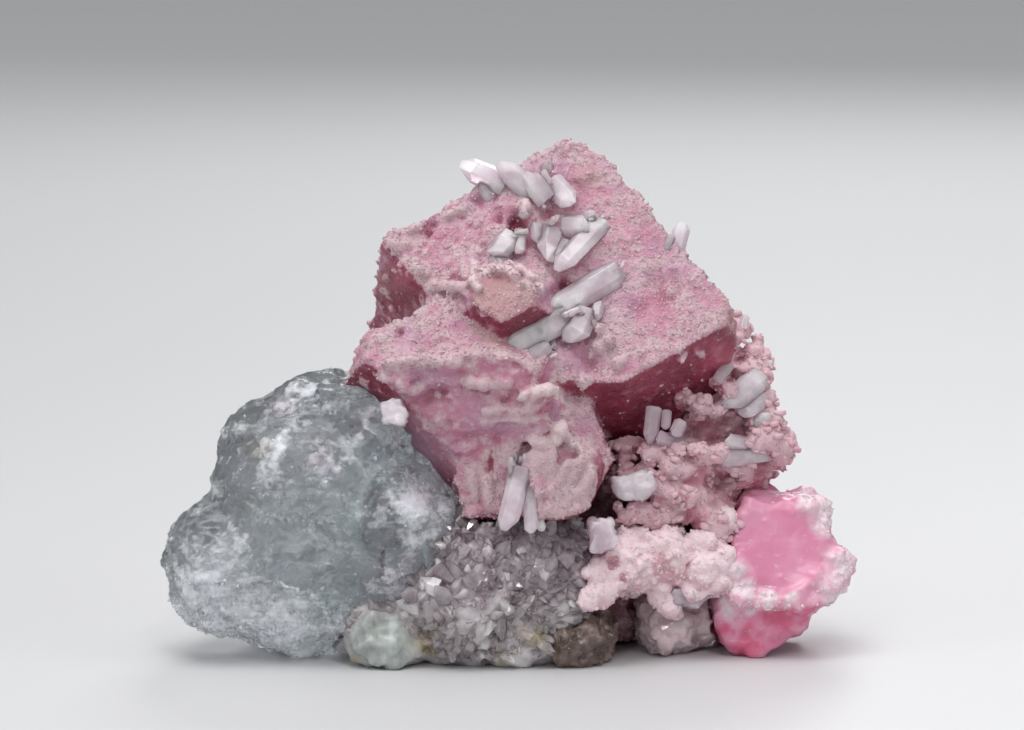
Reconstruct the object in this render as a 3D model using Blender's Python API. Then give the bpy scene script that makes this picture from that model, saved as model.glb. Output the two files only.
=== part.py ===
"""A rhodochrosite specimen: pink rhombs on a pale matrix, with fluorite, drusy quartz and quartz points.

Places are written as (right, up, depth) in millimetres, as read in a front view that looks down by
VIEW_TILT. Depth is counted back from the foot of the specimen. Directions are (right, up, front).
"""

import math
from functools import partial

import bmesh
import bpy
from mathutils import Vector, noise

MM = 0.001
VIEW_TILT = math.radians(8.0)
GAP = 0.3                       # clearance between neighbouring pieces, mm
BLANK = 240.0                   # side of the block that a crystal is cut from, mm
CUT_PRECISION = 1e-8            # metres
SEAM = 1e-5                     # points closer than this are one, metres
PRISM_SIDES = 6
QUARTZ_TIP_ANGLE = math.radians(51.8)   # between a quartz point's axis and the normal of a tip face

# The largest rhomb: its hidden top corner, its two seen corners, and how far it reaches back.
MAIN_TOP = (8.8, 62.7, 18.0)
MAIN_RIGHT_CORNER = (27.1, 40.8)
MAIN_LEFT_CORNER = (-14.7, 49.9)
MAIN_THICKNESS = 18.0
MAIN_FACE = (0.05, 0.35, 0.94)
MAIN_CREST = 60.9
MAIN_UNDERCUT = (9.0, 33.2)
# The second rhomb, in front of it.
SECOND_CORNER = (-14.8, 34.9, 2.4)
SECOND_FACE = (-0.20, -0.42, 0.885)
SECOND_TOP_FACE = (-0.28, 0.51, 0.81)
# The knob, a small rhomb that sits on the large face.
KNOB_CENTRE = (-0.5, 41.3)
KNOB_RISE = 5.8

FLUORITE_LOBES = (
    ((-22.0, 17.6, 13.0), (12.8, 16.6, 13.5)),
    ((-31.1, 12.0, 11.0), (9.0, 8.4, 10.0)),
    ((-26.0, 9.4, 12.0), (8.6, 6.8, 10.0)),
    ((-13.6, 16.5, 8.0), (8.2, 9.2, 8.5)),
    ((-17.0, 27.5, 10.0), (6.5, 6.0, 8.0)),
)
DRUSE_LOBES = (
    ((-4.0, 9.4, 9.0), (11.0, 10.6, 9.8)),
    ((4.2, 10.6, 8.5), (7.0, 8.6, 8.2)),
    ((-14.0, 4.2, 6.0), (5.2, 5.0, 6.4)),
    ((1.0, 3.6, 8.0), (6.0, 4.2, 7.6)),
)
MATRIX_LOBES = (
    ((23.3, 31.2, 21.0), (7.2, 8.6, 8.0)),
    ((25.6, 25.2, 19.0), (6.6, 5.2, 7.0)),
    ((17.6, 23.2, 14.0), (7.4, 5.0, 7.6)),
    ((22.4, 16.8, 15.0), (7.4, 5.4, 7.8)),
    ((8.0, 19.0, 24.0), (14.0, 13.0, 9.5)),
    ((11.0, 9.4, 22.5), (12.5, 9.0, 9.5)),
    ((-8.0, 13.0, 24.5), (9.0, 10.0, 7.5)),
)
CRUST_LOBES = (
    ((13.0, 12.4, 8.6), (4.8, 4.0, 6.6)),
    ((17.6, 13.0, 9.6), (4.4, 4.0, 6.4)),
)
SMOKY_LOBES = (((7.6, 3.8, 7.0), (5.3, 4.5, 6.4)),)
CLEAR_FOOT_LOBES = (
    ((18.9, 5.4, 13.5), (4.4, 4.8, 6.6)),
    ((22.2, 6.2, 14.5), (3.4, 4.0, 5.4)),
)

# One entry per quartz point: foot and tip as (right, up), width, thickness against width, rise of the
# foot and of the tip above the face that carries it.
CREST_POINTS = (
    ((0.6, 54.0), (-5.6, 59.4), 4.0, 0.50, 0.4, 0.8),
    ((4.4, 54.4), (-1.0, 58.6), 3.4, 0.55, 1.2, 1.8),
    ((4.9, 54.0), (2.8, 57.2), 2.7, 0.60, 1.6, 1.2),
    ((5.4, 56.6), (7.4, 53.8), 2.5, 0.60, 0.6, 2.2),
)
UPPER_POINTS = (
    ((7.0, 51.8), (9.4, 51.0), 2.6, 0.60, 0.8, 1.8),
    ((11.2, 51.8), (5.5, 46.2), 3.0, 0.60, 0.4, 3.4),
    ((5.4, 50.8), (4.2, 47.4), 3.0, 0.60, 0.6, 2.2),
)
LEFT_POINTS = (
    ((0.4, 50.0), (-1.4, 47.4), 2.8, 0.65, 0.2, 1.4),
    ((1.3, 51.4), (1.4, 48.0), 1.4, 0.80, 0.4, 1.4),
)
LYING_POINTS = (
    ((12.3, 44.9), (4.2, 40.4), 3.4, 0.45, 0.0, 1.4),
    ((7.4, 41.0), (0.3, 37.4), 2.9, 0.50, 1.0, 2.6),
    ((8.6, 41.4), (7.4, 38.2), 2.9, 0.55, 0.6, 1.8),
)
SMALL_CREST_POINTS = (((1.4, 53.6), (1.6, 51.7), 1.1, 0.85, 0.2, 1.0),)
EDGE_POINTS = (((18.6, 48.4), (20.3, 52.0), 2.0, 0.60, -0.6, -0.8),)
SEATED_GROUPS = (
    ("crest_quartz", CREST_POINTS),
    ("upper_face_quartz", UPPER_POINTS),
    ("left_face_quartz", LEFT_POINTS),
    ("lying_quartz", LYING_POINTS),
    ("small_crest_quartz", SMALL_CREST_POINTS),
    ("edge_quartz", EDGE_POINTS),
)

# Quartz points elsewhere: foot and tip as (right, up, depth), width, thickness against width.
HANGING_POINTS = (
    ((1.8, 23.2, 1.6), (-0.2, 16.4, -1.8), 2.3, 0.80),
    ((2.4, 20.6, 0.6), (2.9, 15.9, -1.4), 1.3, 0.80),
)
CAVE_POINTS = (((16.8, 30.6, 8.6), (16.3, 26.4, 7.0), 1.7, 0.70),)
LEDGE_POINTS = (((20.4, 25.6, 10.0), (17.2, 27.0, 6.0), 1.5, 0.60),)
SIDE_POINTS = (((33.2, 25.4, 16.0), (24.2, 24.6, 9.6), 2.4, 0.70),)
SHOULDER_POINTS = (((29.6, 34.4, 15.0), (25.6, 30.4, 10.4), 2.8, 0.60),)
FREE_GROUPS = (
    ("hanging_quartz", HANGING_POINTS),
    ("cave_quartz", CAVE_POINTS),
    ("ledge_quartz", LEDGE_POINTS),
    ("side_quartz", SIDE_POINTS),
    ("shoulder_quartz", SHOULDER_POINTS),
)

# Milky quartz plates: outline clockwise as (right, up), front depth, back depth, lean of the front.
PLATES = (
    ("upper_milky_plate", [(11.7, 22.3), (16.6, 23.0), (17.0, 21.0), (15.6, 19.6), (12.6, 19.9)],
     4.6, 9.0, (-0.10, 0.10, 0.99)),
    ("lower_milky_plate", [(9.3, 17.4), (12.0, 17.6), (12.4, 14.2), (9.6, 13.6)],
     0.4, 4.0, (0.20, 0.05, 0.98)),
    ("foot_milky_plate", [(19.0, 10.8), (23.4, 11.2), (24.0, 8.8), (21.4, 7.0), (19.2, 7.6)],
     5.4, 9.0, (0.15, 0.20, 0.97)),
    ("junction_milky_quartz", [(-14.6, 30.8), (-12.4, 31.4), (-11.4, 29.6), (-12.2, 28.2), (-14.2, 28.6)],
     0.2, 5.0, (-0.10, 0.20, 0.97)),
)

BODY_PINK = (0.62, 0.29, 0.36, 1.0)
GEM_PINK = (0.72, 0.19, 0.32, 1.0)
MATRIX_PINK = (0.52, 0.25, 0.30, 1.0)
CRUST_WHITE = (0.78, 0.62, 0.66, 1.0)
FLUORITE_GREEN = (0.50, 0.60, 0.58, 1.0)
DRUSE_GREY = (0.44, 0.38, 0.42, 1.0)
SMOKY_BROWN = (0.20, 0.13, 0.11, 1.0)
MILKY = (0.66, 0.56, 0.62, 1.0)


def at(right, up, depth):
    """The point seen at (right, up) in the front view, at a depth behind the foot."""
    height = (up - depth * math.sin(VIEW_TILT)) / math.cos(VIEW_TILT)
    return Vector((right, depth, height)) * MM


def facing(right, up, front):
    """A unit direction given as right, up and toward the viewer in the front view."""
    tilt_sin, tilt_cos = math.sin(VIEW_TILT), math.cos(VIEW_TILT)
    return Vector((right, up * tilt_sin - front * tilt_cos, up * tilt_cos + front * tilt_sin)).normalized()


def on_face(face, right, up, rise=0.0):
    """The point of a face seen at (right, up), raised off the face by rise."""
    point, normal = face
    start = at(right, up, 0.0)
    away = facing(0.0, 0.0, -1.0)
    reach = (point - start).dot(normal) / away.dot(normal)
    return start + away * reach + normal * rise * MM


def clear_scene():
    for obj in list(bpy.data.objects):
        bpy.data.objects.remove(obj, do_unlink=True)


def new_mesh(name, bm):
    bmesh.ops.recalc_face_normals(bm, faces=bm.faces)
    mesh = bpy.data.meshes.new(name)
    bm.to_mesh(mesh)
    bm.free()
    return mesh


def crystal(faces, grow=0.0):
    """A convex crystal: a block cut back by each (point, outward normal), moved out by grow."""
    bm = bmesh.new()
    bmesh.ops.create_cube(bm, size=BLANK * MM)
    for point, normal in faces:
        cut = bmesh.ops.bisect_plane(
            bm, geom=bm.verts[:] + bm.edges[:] + bm.faces[:], dist=CUT_PRECISION,
            plane_co=point + normal * grow * MM, plane_no=normal, clear_outer=True)
        rim = [item for item in cut["geom_cut"] if isinstance(item, bmesh.types.BMEdge)]
        if rim:
            bmesh.ops.edgeloop_fill(bm, edges=rim)
    bmesh.ops.remove_doubles(bm, verts=bm.verts, dist=SEAM)
    return new_mesh("crystal", bm)


def slab(outline, front, back, lean=(0.0, 0.0, 1.0)):
    """The faces of a crystal with a convex front outline, given clockwise as (right, up)."""
    middle_right = sum(right for right, up in outline) / len(outline)
    middle_up = sum(up for right, up in outline) / len(outline)
    faces = [
        (at(middle_right, middle_up, front), facing(*lean)),
        (at(middle_right, middle_up, back), facing(0.0, 0.0, -1.0)),
    ]
    for here, there in zip(outline, outline[1:] + outline[:1]):
        side = facing(-(there[1] - here[1]), there[0] - here[0], 0.0)
        faces.append((at(here[0], here[1], front), side))
    return faces


def quartz_point(foot, tip, width, flatness, carrier_normal):
    """The faces of a six-sided quartz point, flattened against the face that carries it."""
    axis = (tip - foot).normalized()
    thin = (carrier_normal - axis * carrier_normal.dot(axis)).normalized()
    wide = axis.cross(thin)
    faces = [(foot, -axis)]
    for side in range(PRISM_SIDES):
        turn = 2.0 * math.pi * side / PRISM_SIDES
        outward = thin * math.cos(turn) + wide * math.sin(turn)
        half = 0.5 * width * (flatness if side % 3 == 0 else 0.5 * (1.0 + flatness))
        faces.append((foot + outward * half * MM, outward))
        tip_normal = axis * math.cos(QUARTZ_TIP_ANGLE) + outward * math.sin(QUARTZ_TIP_ANGLE)
        longer = 0.0 if side % 2 else 0.12 * width
        faces.append((tip + axis * longer * MM, tip_normal.normalized()))
    return faces


def lump(centre, radii, roughness, seed, detail, grow=0.0):
    """A rough rounded lump with the given radii as (right, up, depth)."""
    bm = bmesh.new()
    bmesh.ops.create_icosphere(bm, subdivisions=detail, radius=1.0)
    offset = Vector((3.1, 7.7, 5.3)) * (seed + 1)
    middle = at(*centre)
    for vert in bm.verts:
        way = vert.co.copy()
        swell = 1.0 + roughness * (noise.noise(way * 1.7 + offset) + 0.5 * noise.noise(way * 4.1 + offset))
        reach = Vector((radii[0] * way.x, radii[2] * way.y, radii[1] * way.z)) * swell
        vert.co = middle + (reach + way * grow) * MM
    return new_mesh("lump", bm)


def boolean(mesh, other, operation):
    """The EXACT Boolean of two closed meshes, as a new mesh. Both are used up."""
    target = bpy.data.objects.new("target", mesh)
    cutter = bpy.data.objects.new("cutter", other)
    for obj in (target, cutter):
        bpy.context.scene.collection.objects.link(obj)
    modifier = target.modifiers.new("combine", "BOOLEAN")
    modifier.operation = operation
    modifier.solver = "EXACT"
    modifier.object = cutter
    graph = bpy.context.evaluated_depsgraph_get()
    result = bpy.data.meshes.new_from_object(target.evaluated_get(graph))
    for obj in (target, cutter):
        bpy.data.objects.remove(obj, do_unlink=True)
    return result


def joined(meshes):
    result = meshes[0]
    for mesh in meshes[1:]:
        result = boolean(result, mesh, "UNION")
    return result


def cut_by(mesh, shapes):
    """The mesh with a GAP-wide clearance cut for each neighbouring shape."""
    for shape in shapes:
        mesh = boolean(mesh, shape(GAP), "DIFFERENCE")
    return mesh


def floor_cut(mesh):
    """The mesh cut level where the specimen rests."""
    bm = bmesh.new()
    bmesh.ops.create_cube(bm, size=BLANK * MM)
    bmesh.ops.translate(bm, verts=bm.verts, vec=Vector((0.0, 0.0, -0.5 * BLANK * MM)))
    return boolean(mesh, new_mesh("floor", bm), "DIFFERENCE")


def largest_body(mesh):
    """The mesh without the crumbs that a cut leaves beside its largest body."""
    bm = bmesh.new()
    bm.from_mesh(mesh)
    bmesh.ops.remove_doubles(bm, verts=bm.verts, dist=SEAM)
    bmesh.ops.dissolve_degenerate(bm, edges=bm.edges, dist=SEAM)
    waiting = set(bm.verts)
    bodies = []
    while waiting:
        body = set()
        front = [waiting.pop()]
        while front:
            vert = front.pop()
            body.add(vert)
            for edge in vert.link_edges:
                neighbour = edge.other_vert(vert)
                if neighbour in waiting:
                    waiting.remove(neighbour)
                    front.append(neighbour)
        bodies.append(body)
    keep = max(bodies, key=len)
    bmesh.ops.delete(bm, geom=[vert for vert in bm.verts if vert not in keep], context="VERTS")
    return new_mesh("body", bm)


def main_rhomb_faces():
    """The faces of the largest rhomb, worked out from its large face and its three seen corners."""
    top = at(*MAIN_TOP)
    large = (top, facing(*MAIN_FACE))
    right = on_face(large, *MAIN_RIGHT_CORNER)
    left = on_face(large, *MAIN_LEFT_CORNER)
    inward = facing(-0.10, -0.654, -0.75)
    upper_right = (right - top).cross(inward).normalized()
    upper_left = inward.cross(left - top).normalized()
    crest = at(MAIN_TOP[0], MAIN_CREST, MAIN_TOP[2])
    return [
        large,
        (top, upper_right),
        (top, upper_left),
        (right, -upper_left),
        (left, -upper_right),
        (top + inward * MAIN_THICKNESS * MM, -large[1]),
        (crest, facing(0.36, 0.92, 0.15)),
        (on_face(large, *MAIN_UNDERCUT), facing(0.0, -0.86, 0.50)),
        (at(27.0, 41.2, 12.0), facing(0.93, 0.05, 0.35)),
        (at(-14.6, 49.0, 10.0), facing(-0.95, 0.10, 0.30)),
    ]


def second_rhomb_faces():
    corner = at(*SECOND_CORNER)
    front = (corner, facing(*SECOND_FACE))
    top = (corner, facing(*SECOND_TOP_FACE))
    return [
        front,
        top,
        (on_face(top, -16.0, 38.6), facing(-0.40, 0.76, -0.50)),
        (on_face(front, -17.2, 33.4), facing(-0.93, 0.25, 0.28)),
        (on_face(front, -11.2, 30.1), facing(-0.62, -0.66, 0.42)),
        (on_face(front, -5.6, 23.3), facing(0.05, -0.90, 0.44)),
        (on_face(front, -4.8, 23.4), facing(0.30, -0.90, 0.25)),
        (on_face(front, 4.8, 28.4), facing(0.87, 0.12, 0.47)),
        (on_face(front, -0.4, 36.4), facing(0.375, 0.81, 0.45)),
        (on_face(front, 2.6, 34.4), facing(0.55, 0.62, 0.56)),
        (at(-5.0, 34.0, 14.0), facing(0.0, 0.0, -1.0)),
    ]


def knob_faces():
    large = main_rhomb_faces()[0]
    crown = on_face(large, *KNOB_CENTRE, KNOB_RISE)
    return [
        (crown, facing(0.08, 0.42, 0.90)),
        (on_face(large, 1.6, 39.0, 4.6), facing(0.55, -0.70, 0.46)),
        (on_face(large, -3.4, 39.2, 4.6), facing(-0.60, -0.66, 0.45)),
        (on_face(large, 3.9, 42.2, 3.2), facing(0.90, 0.25, 0.35)),
        (on_face(large, -5.0, 42.0, 3.2), facing(-0.93, 0.20, 0.30)),
        (on_face(large, 0.2, 45.0, 2.0), facing(0.05, 0.90, 0.43)),
        (on_face(large, 0.0, 41.0, -2.0), -large[1]),
    ]


def lower_block_faces():
    """The plates and blades that hang below the second rhomb."""
    plate = slab([(1.0, 31.4), (9.3, 31.2), (12.3, 24.3), (10.7, 21.6), (2.0, 21.0)],
                 3.4, 13.0, lean=(0.18, 0.02, 0.98))
    right_blade = slab([(2.6, 22.5), (5.4, 26.4), (10.3, 25.6), (10.9, 23.4), (10.2, 20.4), (9.0, 18.4),
                        (6.1, 17.4), (3.2, 17.6)], 0.8, 9.0, lean=(0.25, 0.10, 0.96))
    left_blade = slab([(-6.2, 24.6), (-1.0, 25.6), (-0.4, 22.0), (-1.0, 17.4), (-4.4, 17.5), (-5.8, 20.4)],
                      3.4, 9.0, lean=(-0.15, -0.05, 0.98))
    middle_blade = slab([(-2.2, 27.4), (5.0, 28.0), (5.2, 20.8), (3.4, 17.6), (-1.6, 18.0)],
                        2.4, 9.0, lean=(0.14, 0.06, 0.98))
    return [plate, right_blade, left_blade, middle_blade]


def gem_faces():
    """The clean rose crystal at the right and the smaller one grown under it."""
    upper = slab([(28.0, 20.4), (31.4, 20.0), (34.4, 19.0), (37.2, 15.4), (40.0, 11.4), (39.2, 9.8),
                  (35.8, 6.8), (26.6, 7.4), (25.4, 11.0), (26.8, 17.6)],
                 8.4, 21.0, lean=(0.14, 0.22, 0.96))
    lower = slab([(24.0, 8.6), (27.0, 9.6), (34.8, 9.6), (34.2, 4.2), (31.2, 2.4), (28.6, 1.4), (25.6, 2.6),
                  (23.8, 4.4)], 8.0, 19.0, lean=(0.05, -0.10, 0.99))
    nub = slab([(33.6, 19.6), (35.2, 20.2), (36.8, 19.0), (37.2, 16.0), (34.8, 15.0), (33.2, 17.2)],
               13.0, 19.0)
    return [upper, lower, nub]


def cluster_shape(grow=0.0):
    crystals = [main_rhomb_faces(), second_rhomb_faces(), knob_faces()] + lower_block_faces()
    return joined([crystal(faces, grow) for faces in crystals])


def gem_shape(grow=0.0):
    return joined([crystal(faces, grow) for faces in gem_faces()])


def lobes_shape(lobes, roughness, detail, grow=0.0):
    return joined([lump(centre, radii, roughness, seed, detail, grow)
                   for seed, (centre, radii) in enumerate(lobes)])


def fluorite_shape(grow=0.0):
    return lobes_shape(FLUORITE_LOBES, 0.10, 3, grow)


def druse_shape(grow=0.0):
    return lobes_shape(DRUSE_LOBES, 0.10, 3, grow)


def matrix_shape(grow=0.0):
    return lobes_shape(MATRIX_LOBES, 0.22, 3, grow)


def crust_shape(grow=0.0):
    return lobes_shape(CRUST_LOBES, 0.18, 3, grow)


def smoky_foot_shape(grow=0.0):
    return lobes_shape(SMOKY_LOBES, 0.14, 3, grow)


def clear_foot_shape(grow=0.0):
    return lobes_shape(CLEAR_FOOT_LOBES, 0.16, 3, grow)


def points_shape(points, grow=0.0):
    """Quartz points that touch, as one body, on the large face of the main rhomb."""
    carrier = main_rhomb_faces()[0]
    meshes = []
    for foot, tip, width, flatness, foot_rise, tip_rise in points:
        faces = quartz_point(on_face(carrier, *foot, foot_rise), on_face(carrier, *tip, tip_rise),
                             width, flatness, carrier[1])
        meshes.append(crystal(faces, grow))
    return joined(meshes)


def free_points_shape(points, grow=0.0):
    """Quartz points that touch, as one body, between places given as (right, up, depth)."""
    thin_side = facing(0.0, 0.2, 1.0)
    return joined([crystal(quartz_point(at(*foot), at(*tip), width, flatness, thin_side), grow)
                   for foot, tip, width, flatness in points])


def plate_shape(outline, front, back, lean, grow=0.0):
    return crystal(slab(outline, front, back, lean), grow)


def material(name, colour, roughness, transmission=0.0, ior=1.6):
    found = bpy.data.materials.get(name)
    if found:
        return found
    made = bpy.data.materials.new(name)
    made.use_nodes = True
    made.diffuse_color = colour
    shader = made.node_tree.nodes["Principled BSDF"]
    shader.inputs["Base Color"].default_value = colour
    shader.inputs["Roughness"].default_value = roughness
    shader.inputs["Metallic"].default_value = 0.0
    shader.inputs["Transmission Weight"].default_value = transmission
    shader.inputs["IOR"].default_value = ior
    return made


def place(name, mesh, collection, finish):
    """A finished piece, cut level at the floor and cleaned, in the specimen's collection."""
    solid = largest_body(floor_cut(mesh))
    solid.name = name
    solid.materials.clear()
    solid.materials.append(finish)
    obj = bpy.data.objects.new(name, solid)
    collection.objects.link(obj)
    return obj


def centre_on_base(objects):
    """Moves everything so that the origin is at the middle of the bounding box's bottom."""
    corners = [obj.matrix_world @ vert.co for obj in objects for vert in obj.data.vertices]
    lowest = Vector([min(corner[axis] for corner in corners) for axis in range(3)])
    highest = Vector([max(corner[axis] for corner in corners) for axis in range(3)])
    shift = Vector(((lowest.x + highest.x) / 2, (lowest.y + highest.y) / 2, lowest.z))
    for obj in objects:
        for vert in obj.data.vertices:
            vert.co -= shift


def build():
    clear_scene()
    specimen = bpy.data.collections.new("rhodochrosite_specimen")
    bpy.context.scene.collection.children.link(specimen)

    pink = material("crusted_rhodochrosite", BODY_PINK, 0.6)
    rose = material("clean_rhodochrosite", GEM_PINK, 0.3)
    matrix_pink = material("pink_matrix", MATRIX_PINK, 0.7)
    white = material("white_crust", CRUST_WHITE, 0.7)
    green = material("pale_green_fluorite", FLUORITE_GREEN, 0.25, 0.8, 1.434)
    grey = material("drusy_quartz", DRUSE_GREY, 0.15, 0.7, 1.544)
    smoky = material("smoky_quartz", SMOKY_BROWN, 0.25, 0.6, 1.544)
    milky = material("milky_quartz", MILKY, 0.2, 0.6, 1.544)

    pieces = [
        ("rhodochrosite_cluster", cluster_shape(), pink),
        ("rhodochrosite_gem_lobe", gem_shape(), rose),
        ("fluorite_mass", cut_by(fluorite_shape(), [cluster_shape]), green),
        ("drusy_quartz_base", cut_by(druse_shape(), [cluster_shape, fluorite_shape]), grey),
        ("smoky_quartz_foot", cut_by(smoky_foot_shape(), [cluster_shape, druse_shape]), smoky),
        ("white_crust_block", cut_by(crust_shape(), [cluster_shape, druse_shape, smoky_foot_shape]), white),
        ("clear_quartz_foot", cut_by(clear_foot_shape(), [gem_shape, crust_shape, smoky_foot_shape]), grey),
        ("pink_matrix", cut_by(matrix_shape(), [
            cluster_shape, gem_shape, fluorite_shape, druse_shape, smoky_foot_shape, crust_shape,
            clear_foot_shape]), matrix_pink),
    ]
    earlier = []
    for name, points in SEATED_GROUPS:
        shape = partial(points_shape, points)
        pieces.append((name, cut_by(shape(), [cluster_shape] + earlier), milky))
        earlier.append(shape)
    masses = [cluster_shape, gem_shape, fluorite_shape, druse_shape, crust_shape, clear_foot_shape,
              matrix_shape]
    for name, points in FREE_GROUPS:
        pieces.append((name, cut_by(free_points_shape(points), masses), milky))
    for name, outline, front, back, lean in PLATES:
        pieces.append((name, cut_by(plate_shape(outline, front, back, lean), masses), milky))

    for name, mesh, finish in pieces:
        place(name, mesh, specimen, finish)
    centre_on_base(list(specimen.objects))


build()
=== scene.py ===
import math

import bpy
import numpy as np
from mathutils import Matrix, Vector, bvhtree, kdtree


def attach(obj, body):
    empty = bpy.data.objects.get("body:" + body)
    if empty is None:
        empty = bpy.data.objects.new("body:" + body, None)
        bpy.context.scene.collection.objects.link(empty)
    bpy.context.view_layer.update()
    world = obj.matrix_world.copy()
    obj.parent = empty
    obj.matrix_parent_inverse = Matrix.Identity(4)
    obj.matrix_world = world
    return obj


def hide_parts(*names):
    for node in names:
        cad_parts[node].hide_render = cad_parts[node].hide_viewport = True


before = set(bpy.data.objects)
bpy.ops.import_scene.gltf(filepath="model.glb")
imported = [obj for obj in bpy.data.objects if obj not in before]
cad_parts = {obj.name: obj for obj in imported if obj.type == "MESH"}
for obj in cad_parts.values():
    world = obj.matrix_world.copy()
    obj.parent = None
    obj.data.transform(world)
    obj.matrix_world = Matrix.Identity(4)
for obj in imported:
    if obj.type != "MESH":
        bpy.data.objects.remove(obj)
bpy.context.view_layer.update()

# Everything below is worked out in millimetres and turned to metres when a mesh is made.
# Places are read in a front view that looks down by viewTilt: right, up and depth behind the foot.
mm = 0.001
viewTilt = math.radians(8.0)
footDepth = 16.17                # how far behind the foot the frame's origin lies
floorGap = 0.03
tiltSin, tiltCos = math.sin(viewTilt), math.cos(viewTilt)
rng = np.random.default_rng(11)


def seen(right, up, depth):
    return np.array([right, depth - footDepth, (up - depth * tiltSin) / tiltCos])


def facing(right, up, front):
    way = np.array([right, up * tiltSin - front * tiltCos, up * tiltCos + front * tiltSin])
    return way / np.linalg.norm(way)


def frontView(points):
    return points[:, 0], points[:, 2] * tiltCos + (points[:, 1] + footDepth) * tiltSin


# Noise on arrays of points

def scramble(cell, seed):
    h = (cell[..., 0].astype(np.uint32) * np.uint32(374761393)
         + cell[..., 1].astype(np.uint32) * np.uint32(668265263)
         + cell[..., 2].astype(np.uint32) * np.uint32(2246822519)
         + np.uint32(seed * 97531 % 65521) * np.uint32(40503))
    h = (h ^ (h >> np.uint32(15))) * np.uint32(2246822519)
    h = (h ^ (h >> np.uint32(13))) * np.uint32(3266489917)
    return h ^ (h >> np.uint32(16))


def randomWay(h):
    parts = [(h >> np.uint32(shift)) & np.uint32(1023) for shift in (0, 10, 20)]
    return np.stack([part / 511.5 - 1.0 for part in parts], axis=-1)


def softNoise(points, seed=0):
    cell = np.floor(points).astype(np.int64)
    f = points - cell
    ease = f * f * f * (f * (f * 6.0 - 15.0) + 10.0)
    total = np.zeros(len(points))
    for corner in np.ndindex(2, 2, 2):
        step = np.array(corner)
        slope = randomWay(scramble(cell + step, seed))
        share = np.where(step, ease, 1.0 - ease).prod(axis=1)
        total += share * ((f - step) * slope).sum(axis=1)
    return total * 1.3


def layered(points, seed=0, octaves=4, gain=0.5):
    total, strength, size = 0.0, 1.0, 1.0
    for octave in range(octaves):
        total = total + strength * softNoise(points * size, seed + 7 * octave)
        strength *= gain
        size *= 2.03
    return total


def grains(points, seed=0, jitter=0.5):
    # distance to the nearest grain centre, the way from it, and a number of its own
    base = np.floor(points).astype(np.int64)
    nearest = np.full(len(points), 9.0)
    away = np.zeros_like(points)
    mark = np.zeros(len(points), np.uint32)
    for corner in np.ndindex(3, 3, 3):
        cell = base + np.array(corner) - 1
        h = scramble(cell, seed)
        offset = points - (cell + 0.5 + jitter * randomWay(h))
        reach = np.sqrt((offset ** 2).sum(axis=1))
        nearer = reach < nearest
        nearest = np.where(nearer, reach, nearest)
        away[nearer] = offset[nearer]
        mark[nearer] = h[nearer]
    return nearest, away, mark


def fineGrain(points, size, seed):
    return np.clip(1.0 - grains(points / size, seed)[0] * 1.2, 0.0, 1.0)


def facetHeight(points, size, seed, tilt=0.5):
    # small flat faces, each leaning its own way, like a crust of tiny crystals
    nearest, away, mark = grains(points / size, seed)
    lean = randomWay(mark * np.uint32(2654435761))
    level = ((mark >> np.uint32(7)) & np.uint32(255)) / 255.0
    return size * ((away * lean).sum(axis=1) * tilt + 0.35 * level)


def bentBy(points, size, reach, seeds, octaves):
    return points + np.stack([layered(points / size, seed, octaves) for seed in seeds], axis=1) * reach


def terraced(level, scale, low, high):
    # turns a smooth height into steps
    level = level * scale
    return (np.floor(level) + smoothstep(low, high, level - np.floor(level))) / scale


def smoothstep(low, high, x):
    t = np.clip((x - low) / (high - low), 0.0, 1.0)
    return t * t * (3.0 - 2.0 * t)


def spot(points, right, up, radius, soft=0.5, warp=0.0):
    # 1 inside a round place of the front view, falling to 0 outside
    r, u = frontView(points)
    if warp:
        r, u = (value + warp * layered(points / 2.6, seed, 3) for value, seed in ((r, 301), (u, 302)))
    return 1.0 - smoothstep(1.0 - soft, 1.0, np.hypot(r - right, u - up) / radius)


def addPlaces(height, points, places, there, warp=0.0):
    # raises or sinks single places, each given as right, up, radius, height
    for place in places:
        height += place[3] * spot(points, *place[:3], 0.8, warp) * there


# Mesh making

def newObject(name, points, faces, smooth=True):
    mesh = bpy.data.meshes.new(name)
    mesh.from_pydata((np.asarray(points) * mm).tolist(), [], faces)
    mesh.validate()
    mesh.update()
    mesh.polygons.foreach_set("use_smooth", np.full(len(mesh.polygons), smooth))
    obj = bpy.data.objects.new(name, mesh)
    bpy.context.scene.collection.objects.link(obj)
    return obj


def pointsOf(obj):
    flat = np.empty(len(obj.data.vertices) * 3, np.float32)
    obj.data.vertices.foreach_get("co", flat)
    return flat.reshape(-1, 3).astype(float) / mm


def normalsOf(obj):
    flat = np.empty(len(obj.data.vertices) * 3, np.float32)
    obj.data.vertices.foreach_get("normal", flat)
    return flat.reshape(-1, 3).astype(float)


def surfaceOf(obj):
    return pointsOf(obj), normalsOf(obj)


def movePoints(obj, points):
    obj.data.vertices.foreach_set("co", (points * mm).astype(np.float32).ravel())
    obj.data.update()


def attribute(obj, name, values):
    made = obj.data.attributes.new(name, "FLOAT", "POINT")
    made.data.foreach_set("value", np.clip(values, 0.0, 1.0).astype(np.float32))


def cadChunk(node):
    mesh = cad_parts[node].data
    flat = np.empty(len(mesh.vertices) * 3, np.float32)
    mesh.vertices.foreach_get("co", flat)
    points = np.round(flat.reshape(-1, 3).astype(float) / mm, 4)
    points, index = np.unique(points, axis=0, return_inverse=True)
    index = index.reshape(-1)
    return points, [[int(index[corner]) for corner in p.vertices] for p in mesh.polygons]


def joinedChunks(chunks):
    points, faces, start = [], [], 0
    for chunkPoints, chunkFaces in chunks:
        points.append(chunkPoints)
        faces += [[index + start for index in face] for face in chunkFaces]
        start += len(chunkPoints)
    return np.concatenate(points), faces


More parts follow.
